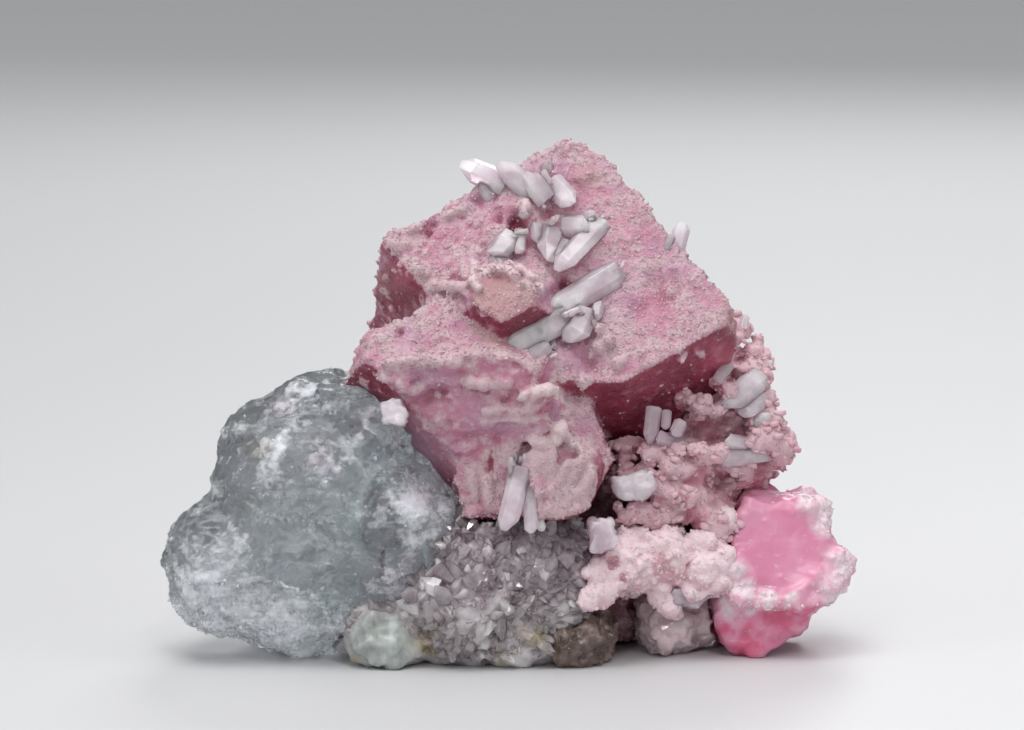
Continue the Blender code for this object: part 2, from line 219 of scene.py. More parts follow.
def meshChunk(obj):
    corners = np.empty(len(obj.data.loops), np.int32)
    obj.data.loops.foreach_get("vertex_index", corners)
    ends = np.cumsum([p.loop_total for p in obj.data.polygons])[:-1]
    return pointsOf(obj), [face.tolist() for face in np.split(corners, ends)]


def taken(obj):
    # the chunk of a finished coarse form, which itself goes
    chunk = meshChunk(obj)
    bpy.data.objects.remove(obj)
    return chunk


def applied(obj):
    graph = bpy.context.evaluated_depsgraph_get()
    mesh = bpy.data.meshes.new_from_object(obj.evaluated_get(graph))
    obj.modifiers.clear()
    old = obj.data
    obj.data = mesh
    bpy.data.meshes.remove(old)
    return obj


def remeshed(name, chunks, voxel):
    points, faces = joinedChunks(chunks)
    obj = newObject(name, points, faces)
    weld = obj.modifiers.new("weld", "WELD")
    weld.merge_threshold = 0.00001
    remesh = obj.modifiers.new("remesh", "REMESH")
    remesh.mode = "VOXEL"
    remesh.voxel_size = voxel * mm
    applied(obj)
    obj.data.polygons.foreach_set("use_smooth", np.full(len(obj.data.polygons), True))
    return obj


def nearestOn(points, chunk):
    # the rise of each point above the chunk's surface, and the normal of the face it is nearest to
    surface = bvhtree.BVHTree.FromPolygons([Vector(p) for p in chunk[0]], chunk[1])
    rise, ways = np.zeros(len(points)), np.zeros_like(points)
    for index, point in enumerate(points):
        place, way, face, reach = surface.find_nearest(Vector(point))
        rise[index] = (Vector(point) - place).dot(way)
        ways[index] = way
    return rise, ways


def edgeReach(points, chunk, sharpness=0.6, spacing=0.4):
    # distance of each point from the nearest sharp edge of the chunk
    obj = newObject("edges", *chunk)
    mesh = obj.data
    seam = {}
    for face in mesh.polygons:
        for key in face.edge_keys:
            seam.setdefault(key, []).append(face.normal.copy())
    spots = []
    for (first, second), ways in seam.items():
        if len(ways) == 2 and ways[0].dot(ways[1]) < math.cos(sharpness):
            a, b = mesh.vertices[first].co / mm, mesh.vertices[second].co / mm
            count = max(2, int((a - b).length / spacing))
            spots += [a.lerp(b, step / count) for step in range(count + 1)]
    tree = kdtree.KDTree(len(spots))
    for index, place in enumerate(spots):
        tree.insert(place, index)
    tree.balance()
    bpy.data.objects.remove(obj)
    return np.array([tree.find(point)[2] for point in points])


def ball():
    # the shape that grains are made from
    middle = (1.0 + math.sqrt(5.0)) / 2.0
    points = [(-1, middle, 0), (1, middle, 0), (-1, -middle, 0), (1, -middle, 0), (0, -1, middle),
              (0, 1, middle), (0, -1, -middle), (0, 1, -middle), (middle, 0, -1), (middle, 0, 1),
              (-middle, 0, -1), (-middle, 0, 1)]
    faces = [(0, 11, 5), (0, 5, 1), (0, 1, 7), (0, 7, 10), (0, 10, 11), (1, 5, 9), (5, 11, 4),
             (11, 10, 2), (10, 7, 6), (7, 1, 8), (3, 9, 4), (3, 4, 2), (3, 2, 6), (3, 6, 8), (3, 8, 9),
             (4, 9, 5), (2, 4, 11), (6, 2, 10), (8, 6, 7), (9, 8, 1)]
    points, middles, split = [np.array(p, float) for p in points], {}, []
    for a, b, c in faces:
        mids = []
        for pair in ((a, b), (b, c), (c, a)):
            key = tuple(sorted(pair))
            if key not in middles:
                middles[key] = len(points)
                points.append((points[pair[0]] + points[pair[1]]) / 2.0)
            mids.append(middles[key])
        split += [[a, mids[0], mids[2]], [mids[0], b, mids[1]], [mids[2], mids[1], c], mids]
    points = np.array(points)
    return points / np.linalg.norm(points, axis=1)[:, None], split


ballPoints, ballFaces = ball()


def turned():
    # a random rotation
    matrix, upper = np.linalg.qr(rng.normal(0.0, 1.0, (3, 3)))
    return matrix * np.sign(np.diag(upper))


def grain(centre, radii, way=None, boxy=0.7):
    # a rounded block; its first radius lies along way
    shape = np.sign(ballPoints) * np.abs(ballPoints) ** boxy
    turn = turned() if way is None else np.array(axesFor(np.asarray(way, float), rng.normal(0, 1, 3)))
    return (shape * np.asarray(radii)) @ turn + centre, ballFaces


def scattered(points, normals, weights, count, smallest, largest, sink=0.3):
    # grains half sunk in a surface, more of them where the weights are larger
    chosen = rng.choice(len(points), count, replace=False, p=weights / weights.sum())
    chunks = []
    for index in chosen:
        size = smallest + (largest - smallest) * rng.random() ** 2.5
        radii = size * np.array([rng.uniform(0.6, 1.0), rng.uniform(0.6, 1.0), rng.uniform(0.6, 1.0)])
        chunks.append(grain(points[index] + normals[index] * size * (0.3 - sink), radii))
    return chunks


def scatterCrystals(name, obj, weights, count, smallest, largest, material, slot, **values):
    # tiny flat-sided rhombs that stand on a finished surface and make it sparkle
    points, normals = surfaceOf(obj)
    corners = np.array([[x, y, z] for x in (-1.0, 1.0) for y in (-1.0, 1.0) for z in (-1.0, 1.0)])
    sides = [(0, 1, 3, 2), (4, 6, 7, 5), (0, 4, 5, 1), (2, 3, 7, 6), (0, 2, 6, 4), (1, 5, 7, 3)]
    lean = np.array([[1.0, 0.2, 0.2], [0.0, 1.0, 0.2], [0.0, 0.0, 0.9]])
    chunks = []
    for index in rng.choice(len(points), count, replace=False, p=weights / weights.sum()):
        size = smallest + (largest - smallest) * rng.random() ** 2.0
        shape = corners * size * rng.uniform(0.5, 1.0, 3) @ lean @ turned()
        chunks.append((shape + points[index] - normals[index] * size * 0.1, sides))
    crystals = newObject(name, *joinedChunks(chunks), False)
    points = pointsOf(crystals)
    for key, value in values.items():
        attribute(crystals, key, value + 0.35 * layered(points / 2.5, 65, 2))
    return finishPiece(crystals, material, slot)


def finishPiece(obj, material, slot, *nodes):
    points = pointsOf(obj)
    points[:, 2] = np.maximum(points[:, 2], floorGap)
    movePoints(obj, points)
    obj.data.materials.clear()
    obj.data.materials.append(material)
    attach(obj, "root")
    if nodes:
        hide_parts(*nodes)
    print("made", obj.name, len(obj.data.polygons), "faces")
    return obj


def axesFor(way, hint):
    way = way / np.linalg.norm(way)
    side = hint - way * (hint @ way)
    if np.linalg.norm(side) < 1e-6:
        side = np.cross(way, [1.0, 0.3, 0.2])
    side = side / np.linalg.norm(side)
    return way, side, np.cross(way, side)


def quartzPoint(foot, tip, width, flatness, hint, tipLength, skew=(0.0, 0.0), taper=0.92):
    # a six-sided prism with a six-sided point, closed at its foot
    way, thin, wide = axesFor(tip - foot, np.asarray(hint, float))
    length = np.linalg.norm(tip - foot)
    shoulder = max(length - tipLength * width, 0.25 * length)
    rows = []
    for reach, size in ((0.0, 1.0), (shoulder, taper)):
        for side in range(6):
            turn = math.pi / 6 + side * math.pi / 3
            lift = 0.12 * width * math.cos(3 * turn + 0.6) if reach else 0.0
            corner = (thin * math.cos(turn) * flatness + wide * math.sin(turn)) * 0.5 * width * size
            rows.append(foot + way * (reach + lift) + corner)
    ridge = 0.13 * width
    apex = foot + way * length + thin * skew[0] * width + wide * skew[1] * width
    rows += [apex + wide * ridge, apex - wide * ridge]
    faces = [[0, 5, 4, 3, 2, 1]]
    faces += [[side, (side + 1) % 6, 6 + (side + 1) % 6, 6 + side] for side in range(6)]
    faces += [[6, 7, 12], [7, 8, 12], [8, 9, 13, 12], [9, 10, 13], [10, 11, 13], [11, 6, 12, 13]]
    return np.array(rows), faces


# Shader maths

class Wire:
    # wraps a socket, so that sums on values read as sums
    def __init__(self, tree, socket=None):
        self.tree = tree
        self.socket = socket

    def make(self, kind, settings=None, sockets=None, out=0):
        node = self.tree.nodes.new("ShaderNode" + kind)
        for name, value in (settings or {}).items():
            setattr(node, name, value)
        for name, value in (sockets or {}).items():
            self.plug(node.inputs[name], value)
        return Wire(self.tree, node.outputs[out])

    def plug(self, slot, value):
        if isinstance(value, Wire):
            self.tree.links.new(value.socket, slot)
        else:
            slot.default_value = value

    def maths(self, operation, *values):
        return self.make("Math", {"operation": operation}, dict(enumerate(values)))

    def __add__(self, other):
        return self.maths("ADD", self, other)

    def __radd__(self, other):
        return self.maths("ADD", other, self)

    def __sub__(self, other):
        return self.maths("SUBTRACT", self, other)

    def __rsub__(self, other):
        return self.maths("SUBTRACT", other, self)

    def __mul__(self, other):
        return self.maths("MULTIPLY", self, other)

    def between(self, low, high):
        return self.make("MapRange", {"interpolation_type": "SMOOTHSTEP"},
                         {"Value": self, "From Min": low, "From Max": high})

    def tint(self, factor, first, second):
        return self.make("Mix", {"data_type": "RGBA"}, {0: factor, 6: first, 7: second}, 2)

    def value(self, name):
        return self.make("Attribute", {"attribute_name": name}, None, 2)

    def place(self, stretch=(1.0, 1.0, 1.0)):
        return self.make("Mapping", None, {"Vector": self.make("TexCoord", None, None, 3), "Scale": stretch})

    def noise(self, scale, detail=3.0, roughness=0.5, stretch=(1.0, 1.0, 1.0)):
        return self.make("TexNoise", None, {"Vector": self.place(stretch), "Scale": scale, "Detail": detail,
                                            "Roughness": roughness})

    def cells(self, scale):
        return self.make("TexVoronoi", None, {"Vector": self.place(), "Scale": scale})

    def bump(self, height, strength, distance):
        return self.make("Bump", None, {"Height": height, "Strength": strength, "Distance": distance * mm})


def rgb(red, green, blue):
    return (red, green, blue, 1.0)


def newMaterial(name, build, settings):
    # build gives the sockets that change over the surface, settings the ones that don't
    material = bpy.data.materials.new(name)
    material.use_nodes = True
    tree = material.node_tree
    shader = tree.nodes["Principled BSDF"]
    wire = Wire(tree)
    for slot, value in {**settings, **build(wire)}.items():
        wire.plug(shader.inputs[slot], value)
    return material


def absorbing(material, colour, density):
    tree = material.node_tree
    volume = tree.nodes.new("ShaderNodeVolumeAbsorption")
    volume.inputs["Color"].default_value = colour
    volume.inputs["Density"].default_value = density
    tree.links.new(volume.outputs[0], tree.nodes["Material Output"].inputs["Volume"])


def clearMineral(name, build, bend, milkySettings):
    # a clear shader and a milky one, mixed by what build gives as "milk"
    material = bpy.data.materials.new(name)
    material.use_nodes = True
    tree = material.node_tree
    wire = Wire(tree)
    sockets = build(wire)
    milk = sockets.pop("milk")
    shaders = []
    for settings in ({"Transmission Weight": 1.0}, milkySettings):
        shader = wire.make("BsdfPrincipled")
        for slot, value in {**sockets, "IOR": bend, **settings}.items():
            wire.plug(shader.socket.node.inputs[slot], value)
        shaders.append(shader)
    mix = wire.make("MixShader", None, {0: milk, 1: shaders[0], 2: shaders[1]})
    tree.links.new(mix.socket, tree.nodes["Material Output"].inputs["Surface"])
    tree.nodes.remove(tree.nodes["Principled BSDF"])
    return material


# deep is the dark rose laid where the cluster's painted shade falls: in recesses and on faces turned from
# the light, partly the clean deeper rose of downward faces
roseLook = {
    "frost": rgb(0.63, 0.45, 0.485), "pink": rgb(0.57, 0.235, 0.335), "deep": rgb(0.20, 0.014, 0.040),
    "mauve": rgb(0.48, 0.31, 0.43), "tan": rgb(0.45, 0.27, 0.25), "white": rgb(0.80, 0.65, 0.66),
    "red": rgb(0.42, 0.06, 0.11),
}


def roseSockets(wire):
    frost, hollow = wire.value("frost"), wire.value("hollow")
    blotch = wire.noise(150.0, 4.0).between(0.40, 0.66)
    sugar = wire.noise(3300.0, 3.0, 0.65)
    speck = wire.noise(1100.0, 4.0, 0.65)
    grit = wire.cells(3000.0)
    red = wire.noise(420.0, 4.0, 0.6).between(0.35, 0.7) * 0.45 + wire.value("glow")
    deep = wire.tint(red, roseLook["deep"], roseLook["red"])
    # Towards the deep colour by the shade mask: painted shade in recesses and on faces turned from the
    # light, partly the clean deeper rose of downward faces
    colour = wire.tint(hollow, roseLook["pink"], deep)
    colour = wire.tint(blotch * 0.55 * (1.0 - hollow), colour, roseLook["mauve"])
    sugary = (frost + (speck - 0.5) * 1.1 + (sugar - 0.5) * 0.9).between(0.12, 0.88)
    colour = wire.tint(sugary, colour, roseLook["frost"])
    colour = wire.tint(wire.value("tan"), colour, roseLook["tan"])
    colour = wire.tint(wire.value("white"), colour, roseLook["white"])
    height = sugar + grit * 0.5 + speck * 1.2
    shine = wire.noise(2400.0, 2.0).between(0.58, 0.70) * 0.32
    return {"Base Color": colour, "Roughness": 0.42 + frost * 0.2 - shine,
            "Normal": wire.bump(height, 0.85, 0.20)}


roseStone = newMaterial("crusted_rose_stone", roseSockets, {
    "Subsurface Weight": 0.15, "Subsurface Scale": 0.0007, "Subsurface Radius": (1.0, 0.45, 0.5),
    "IOR": 1.6})


gemLook = {"rose": rgb(0.72, 0.25, 0.40), "light": rgb(0.82, 0.46, 0.58), "hot": rgb(0.68, 0.08, 0.20),
           "rim": rgb(0.86, 0.73, 0.77)}


def gemSockets(wire):
    rim, deep = wire.value("rim"), wire.value("deep")
    cloud = wire.noise(190.0, 4.0, 0.6).between(0.38, 0.68)
    fleck = wire.noise(1500.0, 5.0, 0.75, (0.4, 1.0, 1.5)).between(0.58, 0.70)
    speck = wire.noise(1500.0, 4.0, 0.65)
    colour = wire.tint(cloud * 0.55, gemLook["rose"], gemLook["light"])
    colour = wire.tint(deep, colour, gemLook["hot"])
    colour = wire.tint((rim * 1.15 + fleck * 0.5 + (speck - 0.5) * rim * 1.5), colour, gemLook["rim"])
    ripple = wire.noise(700.0, 4.0, 0.6) + rim * wire.noise(3000.0, 3.0, 0.6) * 0.8 + fleck * 0.5
    return {"Base Color": colour, "Roughness": 0.32 + rim * 0.3, "Normal": wire.bump(ripple, 0.5, 0.12)}


gemStone = newMaterial("clean_rose_crystal", gemSockets, {
    "Subsurface Weight": 0.25, "Subsurface Scale": 0.001, "Subsurface Radius": (1.0, 0.5, 0.6), "IOR": 1.6})


matrixLook = {"pale": rgb(0.75, 0.51, 0.56), "pink": rgb(0.62, 0.26, 0.34), "painted_shade": rgb(0.17, 0.03, 0.05)}


def matrixSockets(wire):
    frost, hollow = wire.value("frost"), wire.value("hollow")
    speck = wire.noise(1100.0, 4.0, 0.65)
    sugar = wire.noise(3300.0, 3.0, 0.65)
    sugary = (frost + (speck - 0.5) * 0.9 + (sugar - 0.5) * 0.6).between(0.15, 0.85)
    colour = wire.tint(sugary, matrixLook["pink"], matrixLook["pale"])
    # Painted shade: darker in recesses below the base form
    colour = wire.tint(hollow, colour, matrixLook["painted_shade"])
    height = sugar + wire.cells(2600.0) * 0.5 + speck * 1.2
    return {"Base Color": colour, "Roughness": 0.35 + frost * 0.25, "Normal": wire.bump(height, 0.75, 0.2)}


matrixStone = newMaterial("pink_matrix_stone", matrixSockets, {
    "Subsurface Weight": 0.2, "Subsurface Scale": 0.001, "Subsurface Radius": (1.0, 0.5, 0.5)})


crustLook = {"white": rgb(0.94, 0.74, 0.78), "pink": rgb(0.72, 0.42, 0.48)}


def crustSockets(wire):
    hollow = wire.value("hollow")
    # Pinker and darker in recesses and on downward sides: painted shade, with random pink tone from the
    # noise
    pinker = (hollow + wire.noise(700.0, 3.0) * 0.6).between(0.25, 0.9)
    colour = wire.tint(pinker, crustLook["white"], crustLook["pink"])
    grit = wire.noise(3000.0, 3.0, 0.65) + wire.cells(2400.0) * 0.5 + wire.noise(1000.0, 3.0) * 1.2
    return {"Base Color": colour, "Roughness": 0.5 + hollow * 0.1, "Normal": wire.bump(grit, 0.7, 0.2)}


crustStone = newMaterial("white_crust_stone", crustSockets, {
    "Subsurface Weight": 0.3, "Subsurface Scale": 0.001, "Subsurface Radius": (1.0, 0.7, 0.7)})


# What the milky share of each clear mineral looks like
milkyLook = {"Subsurface Weight": 0.5, "Subsurface Scale": 0.0015, "Subsurface Radius": (1.0, 1.0, 1.0)}
fluoriteLook = {"clear": rgb(0.82, 0.84, 0.85), "frost": rgb(0.80, 0.82, 0.87),
                "green": rgb(0.50, 0.63, 0.63), "beige": rgb(0.60, 0.52, 0.44),
                "lilac": rgb(0.62, 0.52, 0.60)}


def fluoriteSockets(wire):
    frost = wire.value("frost")
    sugar = wire.noise(1500.0, 4.0, 0.7)
    patch = wire.noise(210.0, 5.0, 0.6)
    colour = wire.tint(frost, fluoriteLook["clear"], fluoriteLook["frost"])
    for name in ("green", "beige", "lilac"):
        colour = wire.tint(wire.value(name), colour, fluoriteLook[name])
    streak = wire.noise(700.0, 3.0, 0.6, (0.3, 1.0, 1.7))
    grit = wire.noise(1300.0, 4.0, 0.7) + wire.cells(1000.0) * 0.7 + streak * 1.4
    milk = frost * 0.85 + (patch - 0.5) * 1.1 + (sugar - 0.5) + (streak - 0.5) * 0.9
    return {"Base Color": colour, "Roughness": 0.08 + frost * 0.2, "Normal": wire.bump(grit, 0.6, 0.16),
            "milk": milk.between(0.0, 0.9) * 0.9}


fluoriteGlass = clearMineral("pale_green_fluorite", fluoriteSockets, 1.434, milkyLook)
absorbing(fluoriteGlass, rgb(0.80, 0.83, 0.83), 32.0)


def veilSockets(wire):
    patch = wire.noise(500.0, 5.0, 0.65)
    return {"Base Color": wire.tint(patch, rgb(0.50, 0.56, 0.56), rgb(0.86, 0.90, 0.90)), "Roughness": 0.4,
            "Alpha": patch.between(0.42, 0.66) * 0.8}


veilLook = newMaterial("fluorite_veils", veilSockets, {"IOR": 1.2})


def druseSockets(wire):
    blush = wire.value("blush")
    cloud = wire.noise(260.0, 4.0, 0.6).between(0.35, 0.75)
    colour = wire.tint(cloud, rgb(0.93, 0.83, 0.86), rgb(1.0, 0.96, 0.97))
    colour = wire.tint(blush, colour, rgb(0.92, 0.66, 0.69))
    colour = wire.tint(wire.value("cool"), colour, rgb(0.66, 0.72, 0.68))
    colour = wire.tint(wire.value("shade"), colour, rgb(0.58, 0.45, 0.52))
    colour = wire.tint(wire.value("stain"), colour, rgb(0.80, 0.66, 0.36))
    grit = wire.noise(1600.0, 3.0, 0.5)
    return {"Base Color": colour, "Roughness": 0.02 + cloud * 0.06, "Normal": wire.bump(grit, 0.12, 0.06),
            "milk": 0.48 + cloud * 0.45 + blush * 0.2 - wire.value("clear") * 0.36}


druseGlass = clearMineral("drusy_quartz", druseSockets, 1.544, milkyLook)


def smokySockets(wire):
    cloud = wire.noise(300.0, 4.0, 0.6).between(0.35, 0.75)
    colour = wire.tint(cloud, rgb(0.30, 0.20, 0.16), rgb(0.55, 0.44, 0.40))
    grit = wire.noise(900.0, 4.0, 0.6)
    return {"Base Color": colour, "Roughness": 0.12 + cloud * 0.15, "Normal": wire.bump(grit, 0.4, 0.15),
            "milk": 0.25 + cloud * 0.5}


smokyGlass = clearMineral("smoky_quartz", smokySockets, 1.544, milkyLook)


def milkySockets(wire):
    cloud = wire.noise(260.0, 3.0, 0.5).between(0.3, 0.7)
    colour = wire.tint(cloud, rgb(0.95, 0.70, 0.81), rgb(1.0, 0.82, 0.89))
    grit = wire.noise(900.0, 3.0, 0.5)
    return {"Base Color": colour, "Roughness": 0.10 + cloud * 0.18, "Normal": wire.bump(grit, 0.25, 0.1),
            "milk": 0.45 + cloud * 0.35}


milkyGlass = clearMineral("milky_quartz", milkySockets, 1.544, {
    "Subsurface Weight": 0.9, "Subsurface Scale": 0.003, "Subsurface Radius": (1.0, 0.9, 0.95)})


def softened(obj, rounds):
    smooth = obj.modifiers.new("smooth", "SMOOTH")
    smooth.iterations = rounds
    return applied(obj)


def frontPlaces(points, places, soft=0.9, warp=1.6):
    return np.max([spot(points, right, up, radius, soft, warp) for right, up, radius in places], axis=0)


# The grown-together rhombs

cluster = {
    "coarse": 0.55, "voxel": 0.285, "largeFace": ((8.8, 62.7, 18.0), (0.05, 0.35, 0.94)),
    "grains": ((520, 0.28, 0.72), (3800, 0.17, 0.36)), "knob": (-0.5, 41.4, 5.0),
    # right, up, radius, height: ledges and hollows that stand on their own
    "relief": (
        (1.0, 51.6, 1.7, -1.4), (-1.0, 52.4, 1.2, -0.9), (6.7, 44.6, 1.3, -1.1), (8.6, 57.2, 1.6, 0.5),
        (-6.0, 53.4, 2.2, -0.5), (-9.4, 51.2, 1.6, -0.6), (-3.4, 54.2, 1.3, -0.8), (4.8, 52.6, 1.4, -0.7),
        (-10.5, 46.0, 2.4, 0.5), (-5.0, 46.8, 2.0, 0.4), (13.0, 50.0, 2.6, 0.35), (18.0, 44.0, 3.4, -0.35),
        (11.0, 38.2, 1.2, 0.6), (-6.6, 35.4, 1.7, 0.9), (-0.6, 35.6, 1.3, 0.8), (-11.4, 35.6, 1.2, 0.5),
        (-8.0, 31.4, 2.6, -0.4), (-4.0, 27.0, 2.2, -0.4), (3.4, 31.6, 2.2, 0.5), (1.0, 33.0, 2.0, 0.35),
        (15.0, 41.6, 1.5, -0.5), (22.0, 45.0, 1.5, 0.4), (9.4, 35.2, 2.0, -0.5), (6.4, 36.4, 2.0, 0.4),
    ),
    # right, up, depth, radius: white lumps
    "lumps": (
        (12.8, 35.5, 5.2, 0.7), (8.8, 33.9, 5.4, 0.75), (19.9, 36.2, 6.6, 0.6), (22.3, 36.9, 7.4, 0.6),
        (10.7, 38.1, 5.5, 0.9),
        (-14.0, 45.0, 12.0, 0.6), (-13.4, 41.6, 10.6, 0.5), (-12.2, 47.2, 12.2, 0.5),
    ),
    # chains of white coral-like lumps: right, up, rise, radius at each bend
    "corals": (
        ((1.6, 31.8, 0.3, 0.6), (3.2, 32.2, 0.5, 0.65), (4.4, 32.4, 0.5, 0.65), (5.6, 32.4, 0.5, 0.55),
         (5.7, 31.4, 0.4, 0.5)),
        ((2.9, 26.6, 0.4, 0.75), (4.3, 26.3, 0.6, 0.8), (5.6, 26.8, 0.8, 0.75), (6.0, 28.0, 0.9, 0.75),
         (6.4, 28.8, 0.9, 0.6)),
        ((6.6, 27.2, 0.4, 0.5), (7.6, 26.2, 0.4, 0.5), (8.4, 25.6, 0.4, 0.5), (9.6, 25.2, 0.3, 0.45)),
        ((-2.6, 46.0, 0.2, 0.6), (-1.2, 46.4, 0.4, 0.6), (-0.2, 46.2, 0.6, 0.5)),
        ((0.2, 47.2, 0.2, 0.5), (0.2, 46.2, 0.4, 0.55), (0.9, 45.2, 0.5, 0.6)),
        ((1.2, 46.6, 0.3, 0.45), (2.4, 45.8, 0.4, 0.5), (3.4, 45.0, 0.3, 0.5), (3.8, 43.8, 0.3, 0.4)),
        ((1.4, 44.6, 0.3, 0.45), (2.6, 44.6, 0.3, 0.45)),
        ((-3.4, 44.2, 0.2, 0.5), (-4.2, 45.4, 0.2, 0.5), (-3.6, 46.8, 0.2, 0.4)),
        ((2.0, 54.0, 0.3, 0.5), (2.0, 52.6, 0.6, 0.4)), ((1.4, 50.6, 0.3, 0.55), (1.4, 48.6, 0.6, 0.45)),
        ((-7.4, 52.6, 0.1, 0.4), (-6.0, 53.4, 0.1, 0.4), (-4.6, 53.2, 0.1, 0.4)),
        ((-11.4, 50.8, 0.1, 0.4), (-9.8, 51.8, 0.1, 0.4)), ((-10.6, 46.6, 0.1, 0.6), (-9.0, 45.8, 0.2, 0.6)),
        ((-8.6, 44.6, 0.1, 0.7), (-6.8, 44.4, 0.2, 0.6), (-5.0, 44.2, 0.2, 0.6)),
        ((-13.6, 35.4, 0.1, 0.5), (-10.6, 35.9, 0.2, 0.5), (-8.0, 35.9, 0.2, 0.6), (-5.4, 35.6, 0.3, 0.9)),
        ((-12.4, 33.0, 0.0, 0.5), (-10.8, 32.4, 0.1, 0.6), (-9.8, 32.8, 0.0, 0.4)),
        ((-8.6, 28.9, 0.0, 0.6), (-7.2, 28.7, 0.1, 0.6)),
        ((-2.4, 30.0, 0.1, 0.6), (0.6, 30.2, 0.2, 0.6), (3.4, 30.4, 0.2, 0.6)),
        ((-3.0, 28.6, 0.1, 0.5), (0.0, 29.2, 0.1, 0.5), (3.6, 29.2, 0.2, 0.5)),
        ((-5.0, 33.4, 0.1, 0.5), (-2.0, 33.0, 0.1, 0.6), (0.4, 33.4, 0.2, 0.5)),
    ),
    # thin blades under the second rhomb: right, up, half width, half height, lean
    "blades": ((2.6, 23.4, 0.5, 2.3, 0.28), (3.6, 23.2, 0.4, 2.2, 0.22), (4.5, 23.8, 0.4, 2.4, 0.2),
               (6.4, 22.4, 0.6, 2.4, 0.5), (7.8, 22.8, 0.6, 2.6, 0.6), (8.8, 22.0, 0.6, 2.2, 0.5),
               (0.4, 25.4, 0.8, 2.2, 0.3), (-4.0, 21.6, 0.9, 2.4, -0.2), (-2.2, 20.6, 0.7, 2.4, -0.1)),
}


def faceDepth(right, up, rise=0.0, face=cluster["largeFace"]):
    # how deep the large face lies under a place of the front view
    corner, way = seen(*face[0]), facing(*face[1])
    level, deeper = seen(right, up, 0.0), seen(0.0, 0.0, 1.0) - seen(0.0, 0.0, 0.0)
    return (rise - way @ (level - corner)) / (way @ deeper)


def frontDepth(points, right, up, reach=0.7):
    # the depth of the frontmost point of a surface at a place of the front view
    r, u = frontView(points)
    near = np.hypot(r - right, u - up) < reach
    return points[near, 1].min() + footDepth if near.any() else faceDepth(right, up)


def onSurface(points, bends):
    return [(right, up, frontDepth(points, right, up) - rise, size) for right, up, rise, size in bends]


def chainOfGrains(bends, step=0.35, jitter=0.12, boxy=0.7):
    chunks = []
    for start, end in zip(bends, bends[1:]):
        start, end = np.array(start), np.array(end)
        count = max(1, int(np.linalg.norm(end[:3] - start[:3]) / step))
        for share in np.linspace(0.0, 1.0, count, endpoint=False):
            right, up, depth, radius = start + (end - start) * share + rng.normal(0.0, jitter, 4)
            chunks.append(grain(seen(right, up, depth), abs(radius) * rng.uniform(0.6, 1.15, 3), None, boxy))
    return chunks


def roughness(points):
    # the crust is rough towards the upper left of the large face and fine elsewhere
    right, up = frontView(points)
    return np.clip(1.05 - (right + 10.0) / 30.0 + 0.35 * layered(points / 6.0, 35, 2), 0.12, 1.1)


def exposure(points, ways):
    # how far a crystal face looks up or to the front, and so how much crust it carries; the pale colour that
    # follows it is partly painted light on faces turned to the lamps
    lit = ways @ facing(-0.05, 0.62, 0.78)
    rear = 0.30 + 0.5 * ways[:, 2] + 0.5 * layered(points / 6.0, 45, 3)
    return np.where(ways[:, 1] > 0.15, np.maximum(lit, rear), lit)


def clusterForm(points, ways):
    # the broad relief, worked out from where a point lies and the way its crystal face looks
    lit = exposure(points, ways)
    crusted = smoothstep(0.15, 0.75, lit)
    front = smoothstep(0.2, 0.3, lit) * smoothstep(0.8, 0.6, lit)
    bent = bentBy(points, 4.0, 1.3, (201, 202, 203), 3)
    step = terraced(layered(bent / np.array([6.0, 6.0, 4.5]), 21, 3), 2.6, 0.38, 0.62)
    shelf = terraced(layered(bent / np.array([5.0, 5.0, 1.5]), 23, 2), 2.2, 0.35, 0.65)
    knots = 1.0 - np.abs(layered(bent / 1.7, 31, 3)) * 2.0
    cavity = smoothstep(0.50, 0.85, layered(bent / 2.4, 33, 3) + 0.12 * knots)
    rough = roughness(points)
    knob = spot(points, *cluster["knob"], 0.3) * (lit > -0.9)
    height = 0.25 * layered(points / 8.0, 37, 2)
    height = height + (0.2 + 0.8 * crusted) * rough * (0.75 * step + 0.18 * knots)
    height += 0.8 * front * shelf - 0.95 * cavity * crusted * rough * (1.0 - knob)
    addPlaces(height, points, cluster["relief"], ways[:, 1] < 0.0, 0.7)
    return height * (1.0 - 0.4 * knob)


